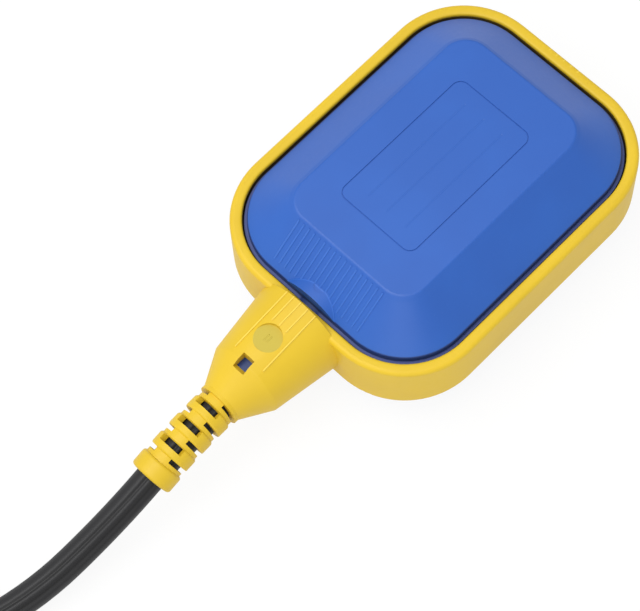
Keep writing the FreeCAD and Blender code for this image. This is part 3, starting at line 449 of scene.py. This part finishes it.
def makeCableRubber(look):
    sheet = Sheet("cableRubber")
    place = sheet.place()
    around, along = sheet.axes(sheet.add("ShaderNodeTexCoord", output="UV"))[:2]
    streaks = sheet.add("ShaderNodeCombineXYZ", None, {
        "X": around * look["streaksAround"], "Y": along * look["streaksAlong"], "Z": 0.0})
    drawn = sheet.noise(streaks, 1.0, 3.0)
    groove = sheet.add("ShaderNodeAttribute", {"attribute_name": "groove"}, output="Fac")
    dust = sheet.noise(place, look["dustScale"], 3.0, 0.7).step(*look["dustStep"])
    cloud = sheet.noise(place, look["cloudScale"]) - look["cloudMiddle"]
    pale = dust * look["dustShare"] + cloud * look["cloudShare"]
    # Painted shade: the jacket is darkened in its grooves, the more the deeper they are
    colour = sheet.lay(sheet.blend(pale, look["base"], look["dust"]), groove, look["groove"])
    roughness = look["roughness"] + (drawn - 0.5) * look["streakRoughness"]
    roughness += dust * look["dustRoughness"]
    relief = sheet.bump(drawn, look["streakDepth"], look["streakStrength"])
    grain = sheet.noise(place, look["grainScale"])
    relief = sheet.bump(grain, look["grainDepth"], look["grainStrength"], relief)
    return sheet.finish(colour, roughness, relief, IOR=look["refraction"])


# Moulded plastics and rubber of the pieces inside: two colours that cloud together, and roughness
mouldedLooks = {
    "sealRubber": (paint(0.16, 0.16, 0.16), paint(0.20, 0.20, 0.20), 0.6),
    "whiteNylon": (paint(0.74, 0.73, 0.68), paint(0.80, 0.79, 0.75), 0.45),
    "brownInsulation": (paint(0.12, 0.045, 0.018), paint(0.15, 0.06, 0.025), 0.38),
    "blueInsulation": (paint(0.02, 0.13, 0.45), paint(0.03, 0.16, 0.52), 0.38),
    "blackInsulation": (paint(0.018, 0.018, 0.018), paint(0.03, 0.03, 0.03), 0.38),
    "redPlastic": (paint(0.50, 0.03, 0.02), paint(0.56, 0.04, 0.03), 0.36),
    "caseBlack": (paint(0.022, 0.022, 0.024), paint(0.032, 0.032, 0.034), 0.48),
}
# Metals, also with the stretch of their fine brushing along each axis
metalLooks = {
    "zincSteel": (paint(0.58, 0.58, 0.60), paint(0.66, 0.66, 0.67), 0.34, (1.0, 6.0, 1.0)),
    "ballSteel": (paint(0.66, 0.66, 0.68), paint(0.72, 0.72, 0.74), 0.14, (1.0, 1.0, 1.0)),
    "tagBrass": (paint(0.72, 0.53, 0.22), paint(0.80, 0.62, 0.30), 0.30, (1.0, 1.0, 8.0)),
    "bareCopper": (paint(0.78, 0.38, 0.22), paint(0.86, 0.46, 0.28), 0.28, (8.0, 1.0, 1.0)),
}
# What all the moulded finishes share, and what all the metals share
mouldedGrain = {
    "cloudScale": 60.0,
    "cloudStep": (0.3, 0.7),
    "cloudRoughness": 0.12,
    "grainScale": 2500.0,
    "grainDepth": 0.00003,
    "grainStrength": 0.4,
    "refraction": 1.47,
}
metalBrushing = {
    "cloudScale": 120.0,
    "cloudStep": (0.3, 0.7),
    "brushScale": 900.0,
    "brushDepth": 0.00001,
    "brushStrength": 0.4,
    "brushRoughness": 0.16,
}


def makeMoulded(name, base, second, roughness):
    plan = mouldedGrain
    sheet = Sheet(name)
    place = sheet.place()
    cloud = sheet.noise(place, plan["cloudScale"], 3.0)
    grain = sheet.noise(place, plan["grainScale"])
    colour = sheet.blend(cloud.step(*plan["cloudStep"]), base, second)
    roughness += (cloud - 0.5) * plan["cloudRoughness"]
    relief = sheet.bump(grain, plan["grainDepth"], plan["grainStrength"])
    return sheet.finish(colour, roughness, relief, IOR=plan["refraction"])


def makeMetal(name, base, second, roughness, stretch):
    plan = metalBrushing
    sheet = Sheet(name)
    place = sheet.place()
    spread = sheet.add("ShaderNodeMapping", None, {"Vector": place, "Scale": stretch})
    brush = sheet.noise(spread, plan["brushScale"], 3.0)
    cloud = sheet.noise(place, plan["cloudScale"])
    colour = sheet.blend(cloud.step(*plan["cloudStep"]), base, second)
    roughness += (brush - 0.5) * plan["brushRoughness"]
    relief = sheet.bump(brush, plan["brushDepth"], plan["brushStrength"])
    return sheet.finish(colour, roughness, relief, Metallic=1.0)


finishes = {
    "shellBlue": makeShellBlue(blueLook),
    "frameYellow": makeFrameYellow(yellowLook),
    "cableRubber": makeCableRubber(rubberLook),
}
for finishName, look in mouldedLooks.items():
    finishes[finishName] = makeMoulded(finishName, *look)
for finishName, look in metalLooks.items():
    finishes[finishName] = makeMetal(finishName, *look)
print("finishes made:", len(finishes))


# Finish of each CAD node that the scene shows as it is
nodeFinishes = {
    "yellow_frame": "frameYellow",
    "upper_shell": "shellBlue",
    "lower_shell": "shellBlue",
    "cable_inner": "cableRubber",
    "cable_seal": "sealRubber",
    "cable_tie": "whiteNylon",
    "brown_core": "brownInsulation",
    "blue_core": "blueInsulation",
    "black_core": "blackInsulation",
    "switch_carrier": "whiteNylon",
    "carrier_screws": "zincSteel",
    "track_cover": "whiteNylon",
    "steel_ball": "ballSteel",
    "ball_lever": "redPlastic",
    "lever_pin": "zincSteel",
    "switch_case": "caseBlack",
    "switch_cover": "caseBlack",
    "switch_button": "redPlastic",
    "common_terminal": "tagBrass",
    "open_terminal": "tagBrass",
    "closed_terminal": "tagBrass",
    "switch_screws": "zincSteel",
}
for nodeName, finishName in nodeFinishes.items():
    materials = cadNodes[nodeName].data.materials
    materials.clear()
    materials.append(finishes[finishName])
print("CAD nodes finished:", len(nodeFinishes))


# Puts a mesh into the scene as a piece that rides on the housing
def addPiece(name, data):
    piece = bpy.data.objects.new(name, data)
    scene.collection.objects.link(piece)
    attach(piece, "housing")
    return piece


# The mesh that an object gives once its curve or modifiers are worked out; the object is taken away
def takeMesh(holder):
    scene.collection.objects.link(holder)
    bpy.context.view_layer.update()
    graph = bpy.context.evaluated_depsgraph_get()
    data = bpy.data.meshes.new_from_object(holder.evaluated_get(graph))
    holder.modifiers.clear()
    bpy.data.objects.remove(holder)
    return data


def smoothByAngle(data, degrees):
    for face in data.polygons:
        face.use_smooth = True
    data.set_sharp_from_angle(angle=math.radians(degrees))


# Cable, in metres and degrees. The route's points are those of the CAD tube, and the last one lies
# on the coil's straight lead. The rest is a coil, whose lower layer winds inwards and whose upper
# layer winds out again. A shift is where its line takes another of the turn radii: start and end in
# turns, and the radius's index. The climb is where it rises to the upper layer. A groove has its
# place round the jacket, its half width and its share of the full depth.
cablePlan = {
    "route": [
        (-0.0695, 0.0, 0.02075),
        (-0.097, 0.0, 0.02075),
        (-0.1255, -0.0005, 0.0127),
        (-0.156, 0.0015, 0.0063),
        (-0.186, 0.0126, 0.00415),
        (-0.197, 0.01667, 0.00415),
        (-0.21154, 0.02205, 0.00415),
    ],
    "exit": (-0.0845, 0.0, 0.02075),
    "radius": 0.00415,
    "coilCentre": (-0.2442917, -0.0218105),
    "coilStart": 69.695,
    "turnRadii": (0.0525, 0.0442, 0.0359),
    "turns": 5.5564,
    "shifts": [(0.85, 1.0, 1), (1.85, 2.0, 2), (3.55, 3.82, 1), (4.56, 4.82, 0)],
    "climb": (2.65, 2.9),
    "coilSteps": 100,
    "tail": 0.031,
    "tailShares": (0.4, 0.75, 1.0),
    "curveSteps": 8,
    "leastGap": 0.0009,
    "sides": 72,
    "grooves": [(255.0, 7.5, 1.0), (217.0, 12.0, 0.9), (60.0, 9.0, 0.8)],
    "grooveDepth": 0.00055,
    "laySpacing": 2.5,
}


def ease(value, low, high):
    share = min(max((value - low) / (high - low), 0.0), 1.0)
    return share * share * (3.0 - 2.0 * share)


def coilPoint(plan, turn):
    radius = plan["turnRadii"][0]
    for low, high, index in plan["shifts"]:
        radius += (plan["turnRadii"][index] - radius) * ease(turn, low, high)
    # A control point of the spline lies a little outside the circle that it draws
    halfStep = math.pi * plan["turns"] / plan["coilSteps"]
    radius *= 2.0 / (1.0 + math.cos(halfStep))
    angle = math.radians(plan["coilStart"]) + turn * 2.0 * math.pi
    layer = ease(turn, *plan["climb"]) * 2.0 * plan["radius"]
    return (
        plan["coilCentre"][0] + radius * math.cos(angle),
        plan["coilCentre"][1] + radius * math.sin(angle),
        plan["radius"] + layer,
    )


def cableLine(plan):
    points = list(plan["route"])
    steps = plan["coilSteps"]
    points += [coilPoint(plan, plan["turns"] * index / steps) for index in range(steps + 1)]
    endX, endY, endZ = points[-1]
    points += [(endX + plan["tail"] * share, endY, endZ) for share in plan["tailShares"]]
    data = bpy.data.curves.new("cableLine", "CURVE")
    data.dimensions = "3D"
    data.resolution_u = plan["curveSteps"]
    spline = data.splines.new("NURBS")
    spline.points.add(len(points) - 1)
    for point, place in zip(spline.points, points):
        point.co = (*place, 1.0)
    spline.order_u = 3
    spline.use_endpoint_u = True
    line = takeMesh(bpy.data.objects.new("cableLine", data))
    path = [line.vertices[0].co.copy()]
    for vertex in line.vertices:
        if (vertex.co - path[-1]).length > plan["leastGap"]:
            path.append(vertex.co.copy())
    bpy.data.meshes.remove(line)
    return path


# A frame at each point of a line, carried along it without turning about it
def carriedFrames(path):
    frames = []
    side = Vector((0.0, 1.0, 0.0))
    for index, place in enumerate(path):
        ahead = path[min(index + 1, len(path) - 1)] - path[max(index - 1, 0)]
        ahead.normalize()
        side = (side - ahead * side.dot(ahead)).normalized()
        frames.append((place, ahead.cross(side), side))
    return frames


# The mesh of a closed tube along a line. section gives its radius and how far it is into a groove,
# from 0 to 1, at an angle and a length along the line, and turns once in each lay spacing.
def loftTube(name, path, section, sides, finish, laySpacing=math.inf):
    mesh = bmesh.new()
    uvLayer = mesh.loops.layers.uv.new("UVMap")
    uvLength = 0.03
    grooveLayer = mesh.verts.layers.float.new("groove")
    rings, lengths, run = [], [], 0.0
    for index, (place, up, side) in enumerate(carriedFrames(path)):
        run += (place - path[max(index - 1, 0)]).length
        twist = 2.0 * math.pi * run / laySpacing
        ring = []
        for step in range(sides):
            angle = 2.0 * math.pi * step / sides
            radius, groove = section(angle - twist, run)
            outwards = side * math.cos(angle) + up * math.sin(angle)
            corner = mesh.verts.new(place + outwards * radius)
            corner[grooveLayer] = groove
            ring.append(corner)
        rings.append(ring)
        lengths.append(run)
    for row in range(len(rings) - 1):
        for step in range(sides):
            places = ((row, step), (row, step + 1), (row + 1, step + 1), (row + 1, step))
            face = mesh.faces.new([rings[ring][corner % sides] for ring, corner in places])
            face.smooth = True
            for loop, (ring, corner) in zip(face.loops, places):
                loop[uvLayer].uv = (corner / sides, lengths[ring] / uvLength)
    mesh.faces.new(list(reversed(rings[0])))
    mesh.faces.new(rings[-1])
    data = bpy.data.meshes.new(name)
    mesh.to_mesh(data)
    mesh.free()
    data.materials.append(finish)
    return data


# The jacket is drawn tight over three cores, which leaves soft grooves along it
def jacketSection(plan):
    def section(angle, run):
        deepest = 0.0
        for centre, halfWidth, share in plan["grooves"]:
            away = (math.degrees(angle) - centre + 180.0) % 360.0 - 180.0
            deepest = max(deepest, share * math.exp(-(away / halfWidth) ** 2))
        return plan["radius"] - plan["grooveDepth"] * deepest, deepest
    return section


cablePath = cableLine(cablePlan)
cableLength = sum((b - a).length for a, b in zip(cablePath, cablePath[1:]))
cableJacket = addPiece("cable_jacket", loftTube(
    "cable_jacket", cablePath, jacketSection(cablePlan), cablePlan["sides"],
    finishes["cableRubber"], cablePlan["laySpacing"]))
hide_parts("cable", "cable_coil")
print(f"cable made: {cableLength:.3f} m, {len(cablePath)} rings")


# Starts a Geometry Nodes tree with a named input for each size and one for the finish, and gives
# its inputs and the function that adds a node and returns its first output
def startTree(name, sizes):
    tree = bpy.data.node_groups.new(name, "GeometryNodeTree")
    tree.interface.new_socket("Geometry", in_out="OUTPUT", socket_type="NodeSocketGeometry")
    kinds = {label: "NodeSocketInt" if isinstance(value, int) else "NodeSocketFloat"
             for label, value in sizes.items()}
    kinds["Finish"] = "NodeSocketMaterial"
    for label, kind in kinds.items():
        tree.interface.new_socket(label, in_out="INPUT", socket_type=kind)
    given = tree.nodes.new("NodeGroupInput").outputs

    def add(kind, settings=None, inputs=None):
        node = tree.nodes.new(kind)
        for key, value in (settings or {}).items():
            setattr(node, key, value)
        for key, value in (inputs or {}).items():
            if isinstance(value, bpy.types.NodeSocket):
                tree.links.new(value, node.inputs[key])
            else:
                node.inputs[key].default_value = value
        return node.outputs[0]

    return tree, given, add


# Joins geometries and makes their instances real
def gather(tree, add, *geometries):
    joined = tree.nodes.new("GeometryNodeJoinGeometry")
    for geometry in geometries:
        tree.links.new(geometry, joined.inputs[0])
    return add("GeometryNodeRealizeInstances", None, {"Geometry": joined.outputs[0]})


def finishTree(tree, given, add, geometry):
    finished = add("GeometryNodeSetMaterial", None, {
        "Geometry": geometry, "Material": given["Finish"]})
    tree.links.new(finished, tree.nodes.new("NodeGroupOutput").inputs[0])
    return tree


def bakeTree(name, tree, values):
    holder = bpy.data.objects.new(name + "Holder", bpy.data.meshes.new(name + "Holder"))
    modifier = holder.modifiers.new("tree", "NODES")
    modifier.node_group = tree
    for item in tree.interface.items_tree:
        if item.in_out == "INPUT":
            modifier[item.identifier] = values[item.name]
    data = takeMesh(holder)
    data.name = name
    return data


# Bare ends of the three cores, in metres and degrees, side by side round the cable's middle
coreEnds = {
    "colours": ("brown", "blue", "black"),
    "spread": 0.001559,
    "firstAt": 90.0,
    "apart": 120.0,
    "sleeveRadius": 0.0013,
    "sleeveLength": 0.024,
    "sleeveSides": 24,
    "sleeveSteps": 10,
    "buried": 0.0015,
    "cutLength": 0.0003,
    "cutRounding": 0.12,
    "strandsBuried": 0.002,
}
strandSizes = {
    "Strand Count": 8,
    "Ring Radius": 0.000495,
    "Length": 0.009,
    "Strand Radius": 0.000155,
    "Twist": 5.0,
    "Line Points": 14,
    "Strand Sides": 8,
}


# Strands round a middle one: each strand is a line on a circle, turned about the bundle's axis in
# step with its length, with a round section
def strandTree(sizes):
    tree, given, add = startTree("strandBundle", sizes)
    circle = add("GeometryNodeMeshCircle", None, {
        "Vertices": given["Strand Count"], "Radius": given["Ring Radius"]})
    end = add("ShaderNodeCombineXYZ", None, {"Z": given["Length"]})
    line = add("GeometryNodeCurvePrimitiveLine", None, {"End": end})
    fineLine = add("GeometryNodeResampleCurve", None, {
        "Curve": line, "Count": given["Line Points"]})
    strands = add("GeometryNodeInstanceOnPoints", None, {"Points": circle, "Instance": fineLine})
    loose = gather(tree, add, fineLine, strands)
    place = add("GeometryNodeInputPosition")
    separate = tree.nodes.new("ShaderNodeSeparateXYZ")
    tree.links.new(place, separate.inputs[0])
    share = add("ShaderNodeMath", {"operation": "DIVIDE"}, {
        0: separate.outputs["Z"], 1: given["Length"]})
    angle = add("ShaderNodeMath", {"operation": "MULTIPLY"}, {0: share, 1: given["Twist"]})
    turned = add("ShaderNodeVectorRotate", {"rotation_type": "Z_AXIS"}, {
        "Vector": place, "Angle": angle})
    laid = add("GeometryNodeSetPosition", None, {"Geometry": loose, "Position": turned})
    profile = add("GeometryNodeCurvePrimitiveCircle", None, {
        "Resolution": given["Strand Sides"], "Radius": given["Strand Radius"]})
    wires = add("GeometryNodeCurveToMesh", None, {
        "Curve": laid, "Profile Curve": profile, "Fill Caps": True})
    return finishTree(tree, given, add, wires)


def coreEndCentre(plan, index):
    turn = math.radians(plan["firstAt"] + plan["apart"] * index)
    return Vector((
        cablePlan["coilCentre"][0] + cablePlan["tail"],
        cablePlan["coilCentre"][1] - cablePlan["turnRadii"][0] + plan["spread"] * math.cos(turn),
        3.0 * cablePlan["radius"] + plan["spread"] * math.sin(turn),
    ))


def makeCoreEnd(plan, index, tree):
    colour = plan["colours"][index]
    centre = coreEndCentre(plan, index)
    length, cut, steps = plan["sleeveLength"], plan["cutLength"], plan["sleeveSteps"]
    stations = [-plan["buried"]] + [length * step / steps for step in range(steps)]
    stations += [length - cut, length - cut / 3, length]

    # The sleeve's cut end is a little rounded
    def section(angle, run):
        rounding = 1.0 - ease(length + plan["buried"] - run, 0.0, cut)
        return plan["sleeveRadius"] * (1.0 - plan["cutRounding"] * rounding), 0.0

    path = [centre + Vector((run, 0.0, 0.0)) for run in stations]
    insulation = finishes[colour + "Insulation"]
    sleeve = addPiece(colour + "_sleeve", loftTube(
        colour + "_sleeve", path, section, plan["sleeveSides"], insulation))
    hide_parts(colour + "_core_end")

    strands = bakeTree(colour + "_strands", tree, {
        **strandSizes, "Twist": strandSizes["Twist"] + index, "Finish": finishes["bareCopper"]})
    start = Matrix.Translation(centre + Vector((length - plan["strandsBuried"], 0.0, 0.0)))
    strands.transform(start @ Matrix.Rotation(math.pi / 2, 4, "Y"))
    for face in strands.polygons:
        face.use_smooth = True
    return [sleeve, addPiece(colour + "_strands", strands)]


strandBundle = strandTree(strandSizes)
cableEnds = []
for coreIndex in range(len(coreEnds["colours"])):
    cableEnds += makeCoreEnd(coreEnds, coreIndex, strandBundle)
[tuple(place) for place in cablePath]
print("core ends made:", len(cableEnds), "pieces")


# Rounded lip along both edges of the frame's opening, in mm inside the outline and above the
# middle. Its section would be a quarter of an ellipse at a fullness of 1, and is fuller below that.
frameLip = {
    "crestInset": 1.6,
    "wallInset": 3.5,
    "crestHeight": 9.7,
    "footHeight": 8.1,
    "sunk": 0.25,
    "fullness": 0.45,
    "arcSteps": 12,
    "cornerSteps": 24,
    "sharpAngle": 40.0,
}


# The frame's outline moved inwards, as points that lie side by side at every inset
def outlinePoints(outline, inset, cornerSteps):
    radius = outline["corner"] - inset
    centreX = outline["halfLength"] - outline["corner"]
    centreY = outline["halfWidth"] - outline["corner"]
    points = []
    for quarter, (signX, signY) in enumerate(((1, 1), (-1, 1), (-1, -1), (1, -1))):
        for step in range(cornerSteps + 1):
            angle = math.pi / 2 * (quarter + step / cornerSteps)
            points.append((
                signX * centreX + radius * math.cos(angle),
                signY * centreY + radius * math.sin(angle),
            ))
    return points


# The lip's section, as insets and heights: its rounded face, then its back inside the frame
def lipProfile(plan):
    run = plan["wallInset"] - plan["crestInset"]
    rise = plan["crestHeight"] - plan["footHeight"]
    profile = []
    for step in range(plan["arcSteps"] + 1):
        turn = math.pi / 2 * step / plan["arcSteps"]
        profile.append((
            plan["crestInset"] + run * math.sin(turn) ** plan["fullness"],
            plan["footHeight"] + rise * math.cos(turn) ** plan["fullness"],
        ))
    profile.append((plan["wallInset"] - plan["sunk"], plan["footHeight"] - plan["sunk"]))
    profile.append((plan["crestInset"] - plan["sunk"], plan["crestHeight"] - plan["sunk"]))
    return profile


def makeLip(name, plan, outline, side):
    mesh = bmesh.new()
    rows = []
    for inset, height in lipProfile(plan):
        level = (outline["middle"] + side * height) / 1000.0
        rows.append([mesh.verts.new((x / 1000.0, y / 1000.0, level))
                     for x, y in outlinePoints(outline, inset, plan["cornerSteps"])])
    for row, following in zip(rows, rows[1:] + rows[:1]):
        for index in range(len(row)):
            onward = (index + 1) % len(row)
            mesh.faces.new((row[index], row[onward], following[onward], following[index]))
    bmesh.ops.recalc_face_normals(mesh, faces=mesh.faces)
    data = bpy.data.meshes.new(name)
    mesh.to_mesh(data)
    mesh.free()
    data.materials.append(finishes["frameYellow"])
    smoothByAngle(data, plan["sharpAngle"])
    addPiece(name, data)


makeLip("frame_lip_upper", frameLip, bodyOutline, 1)
makeLip("frame_lip_lower", frameLip, bodyOutline, -1)
print("frame lips made")


# Grip ribs on the flank that faces the cable, in metres. A thin skin under them lies on the flank.
gripRibs = {
    "Rib Count": 17,
    "Pitch": 0.00193,
    "Rib Length": 0.0134,
    "Rib Radius": 0.00034,
    "Rib Sides": 20,
    "Sunk": 0.00010,
    "Skin Length": 0.0139,
    "Skin Width": 0.0318,
    "Skin Thickness": 0.0001,
    "Skin Rise": 0.00002,
}
# Middle of the ribs on the upper shell, and the angle above which their edges stay sharp
gripPlace = {"x": -0.04173, "z": 0.03645, "slope": ribFlank["slope"], "sharpAngle": 40.0}


def ribTree(sizes):
    tree, given, add = startTree("gripRibs", sizes)

    def calc(operation, first, second):
        return add("ShaderNodeMath", {"operation": operation}, {0: first, 1: second})

    halfRib = calc("MULTIPLY", given["Rib Length"], 0.5)
    below = calc("MULTIPLY", given["Sunk"], -1.0)
    start = add("ShaderNodeCombineXYZ", None, {"X": calc("MULTIPLY", halfRib, -1.0), "Z": below})
    end = add("ShaderNodeCombineXYZ", None, {"X": halfRib, "Z": below})
    line = add("GeometryNodeCurvePrimitiveLine", None, {"Start": start, "End": end})
    profile = add("GeometryNodeCurvePrimitiveCircle", None, {
        "Resolution": given["Rib Sides"], "Radius": given["Rib Radius"]})
    rib = add("GeometryNodeCurveToMesh", None, {
        "Curve": line, "Profile Curve": profile, "Fill Caps": True})
    gaps = calc("SUBTRACT", given["Rib Count"], 1.0)
    halfRow = calc("MULTIPLY", calc("MULTIPLY", gaps, given["Pitch"]), -0.5)
    row = add("GeometryNodeMeshLine", None, {
        "Count": given["Rib Count"],
        "Start Location": add("ShaderNodeCombineXYZ", None, {"Y": halfRow}),
        "Offset": add("ShaderNodeCombineXYZ", None, {"Y": given["Pitch"]})})
    ribs = add("GeometryNodeInstanceOnPoints", None, {"Points": row, "Instance": rib})
    skinSize = add("ShaderNodeCombineXYZ", None, {
        "X": given["Skin Length"], "Y": given["Skin Width"], "Z": given["Skin Thickness"]})
    skin = add("GeometryNodeMeshCube", None, {"Size": skinSize})
    halfSkin = calc("MULTIPLY", given["Skin Thickness"], 0.5)
    lift = add("ShaderNodeCombineXYZ", None, {
        "Z": calc("SUBTRACT", given["Skin Rise"], halfSkin)})
    laidSkin = add("GeometryNodeTransform", None, {"Geometry": skin, "Translation": lift})
    return finishTree(tree, given, add, gather(tree, add, laidSkin, ribs))


def makeGrip(name, tree, place, turned):
    data = bakeTree(name, tree, {**gripRibs, "Finish": finishes["shellBlue"]})
    lean = Matrix.Rotation(-math.radians(place["slope"]), 4, "Y")
    data.transform(Matrix.Translation((place["x"], 0.0, place["z"])) @ lean)
    if turned:
        middle = Vector((0.0, 0.0, bodyOutline["middle"] / 1000.0))
        over = Matrix.Rotation(math.pi, 4, "X")
        data.transform(Matrix.Translation(middle) @ over @ Matrix.Translation(-middle))
    smoothByAngle(data, place["sharpAngle"])
    addPiece(name, data)


gripTree = ribTree(gripRibs)
makeGrip("grip_ribs_upper", gripTree, gripPlace, False)
makeGrip("grip_ribs_lower", gripTree, gripPlace, True)
print("grip ribs made:", gripRibs["Rib Count"], "on each side")


# Studio: a white floor that the camera sees as plain white, a white sky and two soft lamps
studio = {
    "floorColour": paint(0.90, 0.90, 0.90),
    "floorCloud": paint(0.92, 0.92, 0.92),
    "floorSize": 6.0,
    "floorLevel": -0.00005,
    "whiteShare": 0.9,
    "white": paint(1.0, 1.0, 1.0),
    "skyStrength": 0.62,
    "lampsAimAt": (0.0, 0.0, 0.02),
    "lamps": {
        "keyLamp": {"place": (-0.42, 0.25, 1.28), "size": 1.3, "power": 14.7},
        "fillLamp": {"place": (-0.9, -0.75, 0.9), "size": 1.2, "power": 3.2},
    },
}


def makeFloorFinish(plan):
    sheet = Sheet("studioFloor")
    cloud = sheet.noise(sheet.place(), 3.0)
    tone = sheet.blend(cloud, plan["floorColour"], plan["floorCloud"])
    matt = sheet.add("ShaderNodeBsdfDiffuse", None, {"Color": tone})
    glow = sheet.add("ShaderNodeEmission", None, {"Color": plan["white"], "Strength": 1.0})
    camera, glossy, through = (
        sheet.add("ShaderNodeLightPath", output=f"Is {ray} Ray")
        for ray in ("Camera", "Glossy", "Transmission"))
    seen = camera.most(glossy).most(through)
    both = sheet.add("ShaderNodeMixShader", None, {0: seen * plan["whiteShare"], 1: matt, 2: glow})
    sheet.tree.links.new(both.socket, sheet.output.inputs[0])
    return sheet.material


def makeFloor(plan):
    half, level = plan["floorSize"] / 2, plan["floorLevel"]
    signs = ((-1, -1), (1, -1), (1, 1), (-1, 1))
    corners = [(signX * half, signY * half, level) for signX, signY in signs]
    data = bpy.data.meshes.new("studioFloor")
    data.from_pydata(corners, [], [(0, 1, 2, 3)])
    data.materials.append(makeFloorFinish(plan))
    floor = bpy.data.objects.new("studioFloor", data)
    scene.collection.objects.link(floor)


def makeSky(plan):
    world = bpy.data.worlds.new("studioSky")
    scene.world = world
    world.use_nodes = True
    tree = world.node_tree
    tree.nodes.clear()
    rays = tree.nodes.new("ShaderNodeLightPath")
    both = tree.nodes.new("ShaderNodeMixShader")
    tree.links.new(rays.outputs["Is Camera Ray"], both.inputs[0])
    # The light that the sky gives, and what the camera sees of it
    for index, strength in enumerate((plan["skyStrength"], 1.0), 1):
        sky = tree.nodes.new("ShaderNodeBackground")
        sky.inputs["Color"].default_value = plan["white"]
        sky.inputs["Strength"].default_value = strength
        tree.links.new(sky.outputs[0], both.inputs[index])
    tree.links.new(both.outputs[0], tree.nodes.new("ShaderNodeOutputWorld").inputs[0])


def makeLamp(name, aim, place, size, power):
    data = bpy.data.lights.new(name, "AREA")
    data.shape = "DISK"
    data.size = size
    data.energy = power
    lamp = bpy.data.objects.new(name, data)
    lamp.location = place
    lamp.rotation_mode = "QUATERNION"
    lamp.rotation_quaternion = (Vector(place) - Vector(aim)).to_track_quat("Z", "Y")
    scene.collection.objects.link(lamp)


makeFloor(studio)
makeSky(studio)
for lampName, lampPlan in studio["lamps"].items():
    makeLamp(lampName, studio["lampsAimAt"], **lampPlan)
print("studio made")
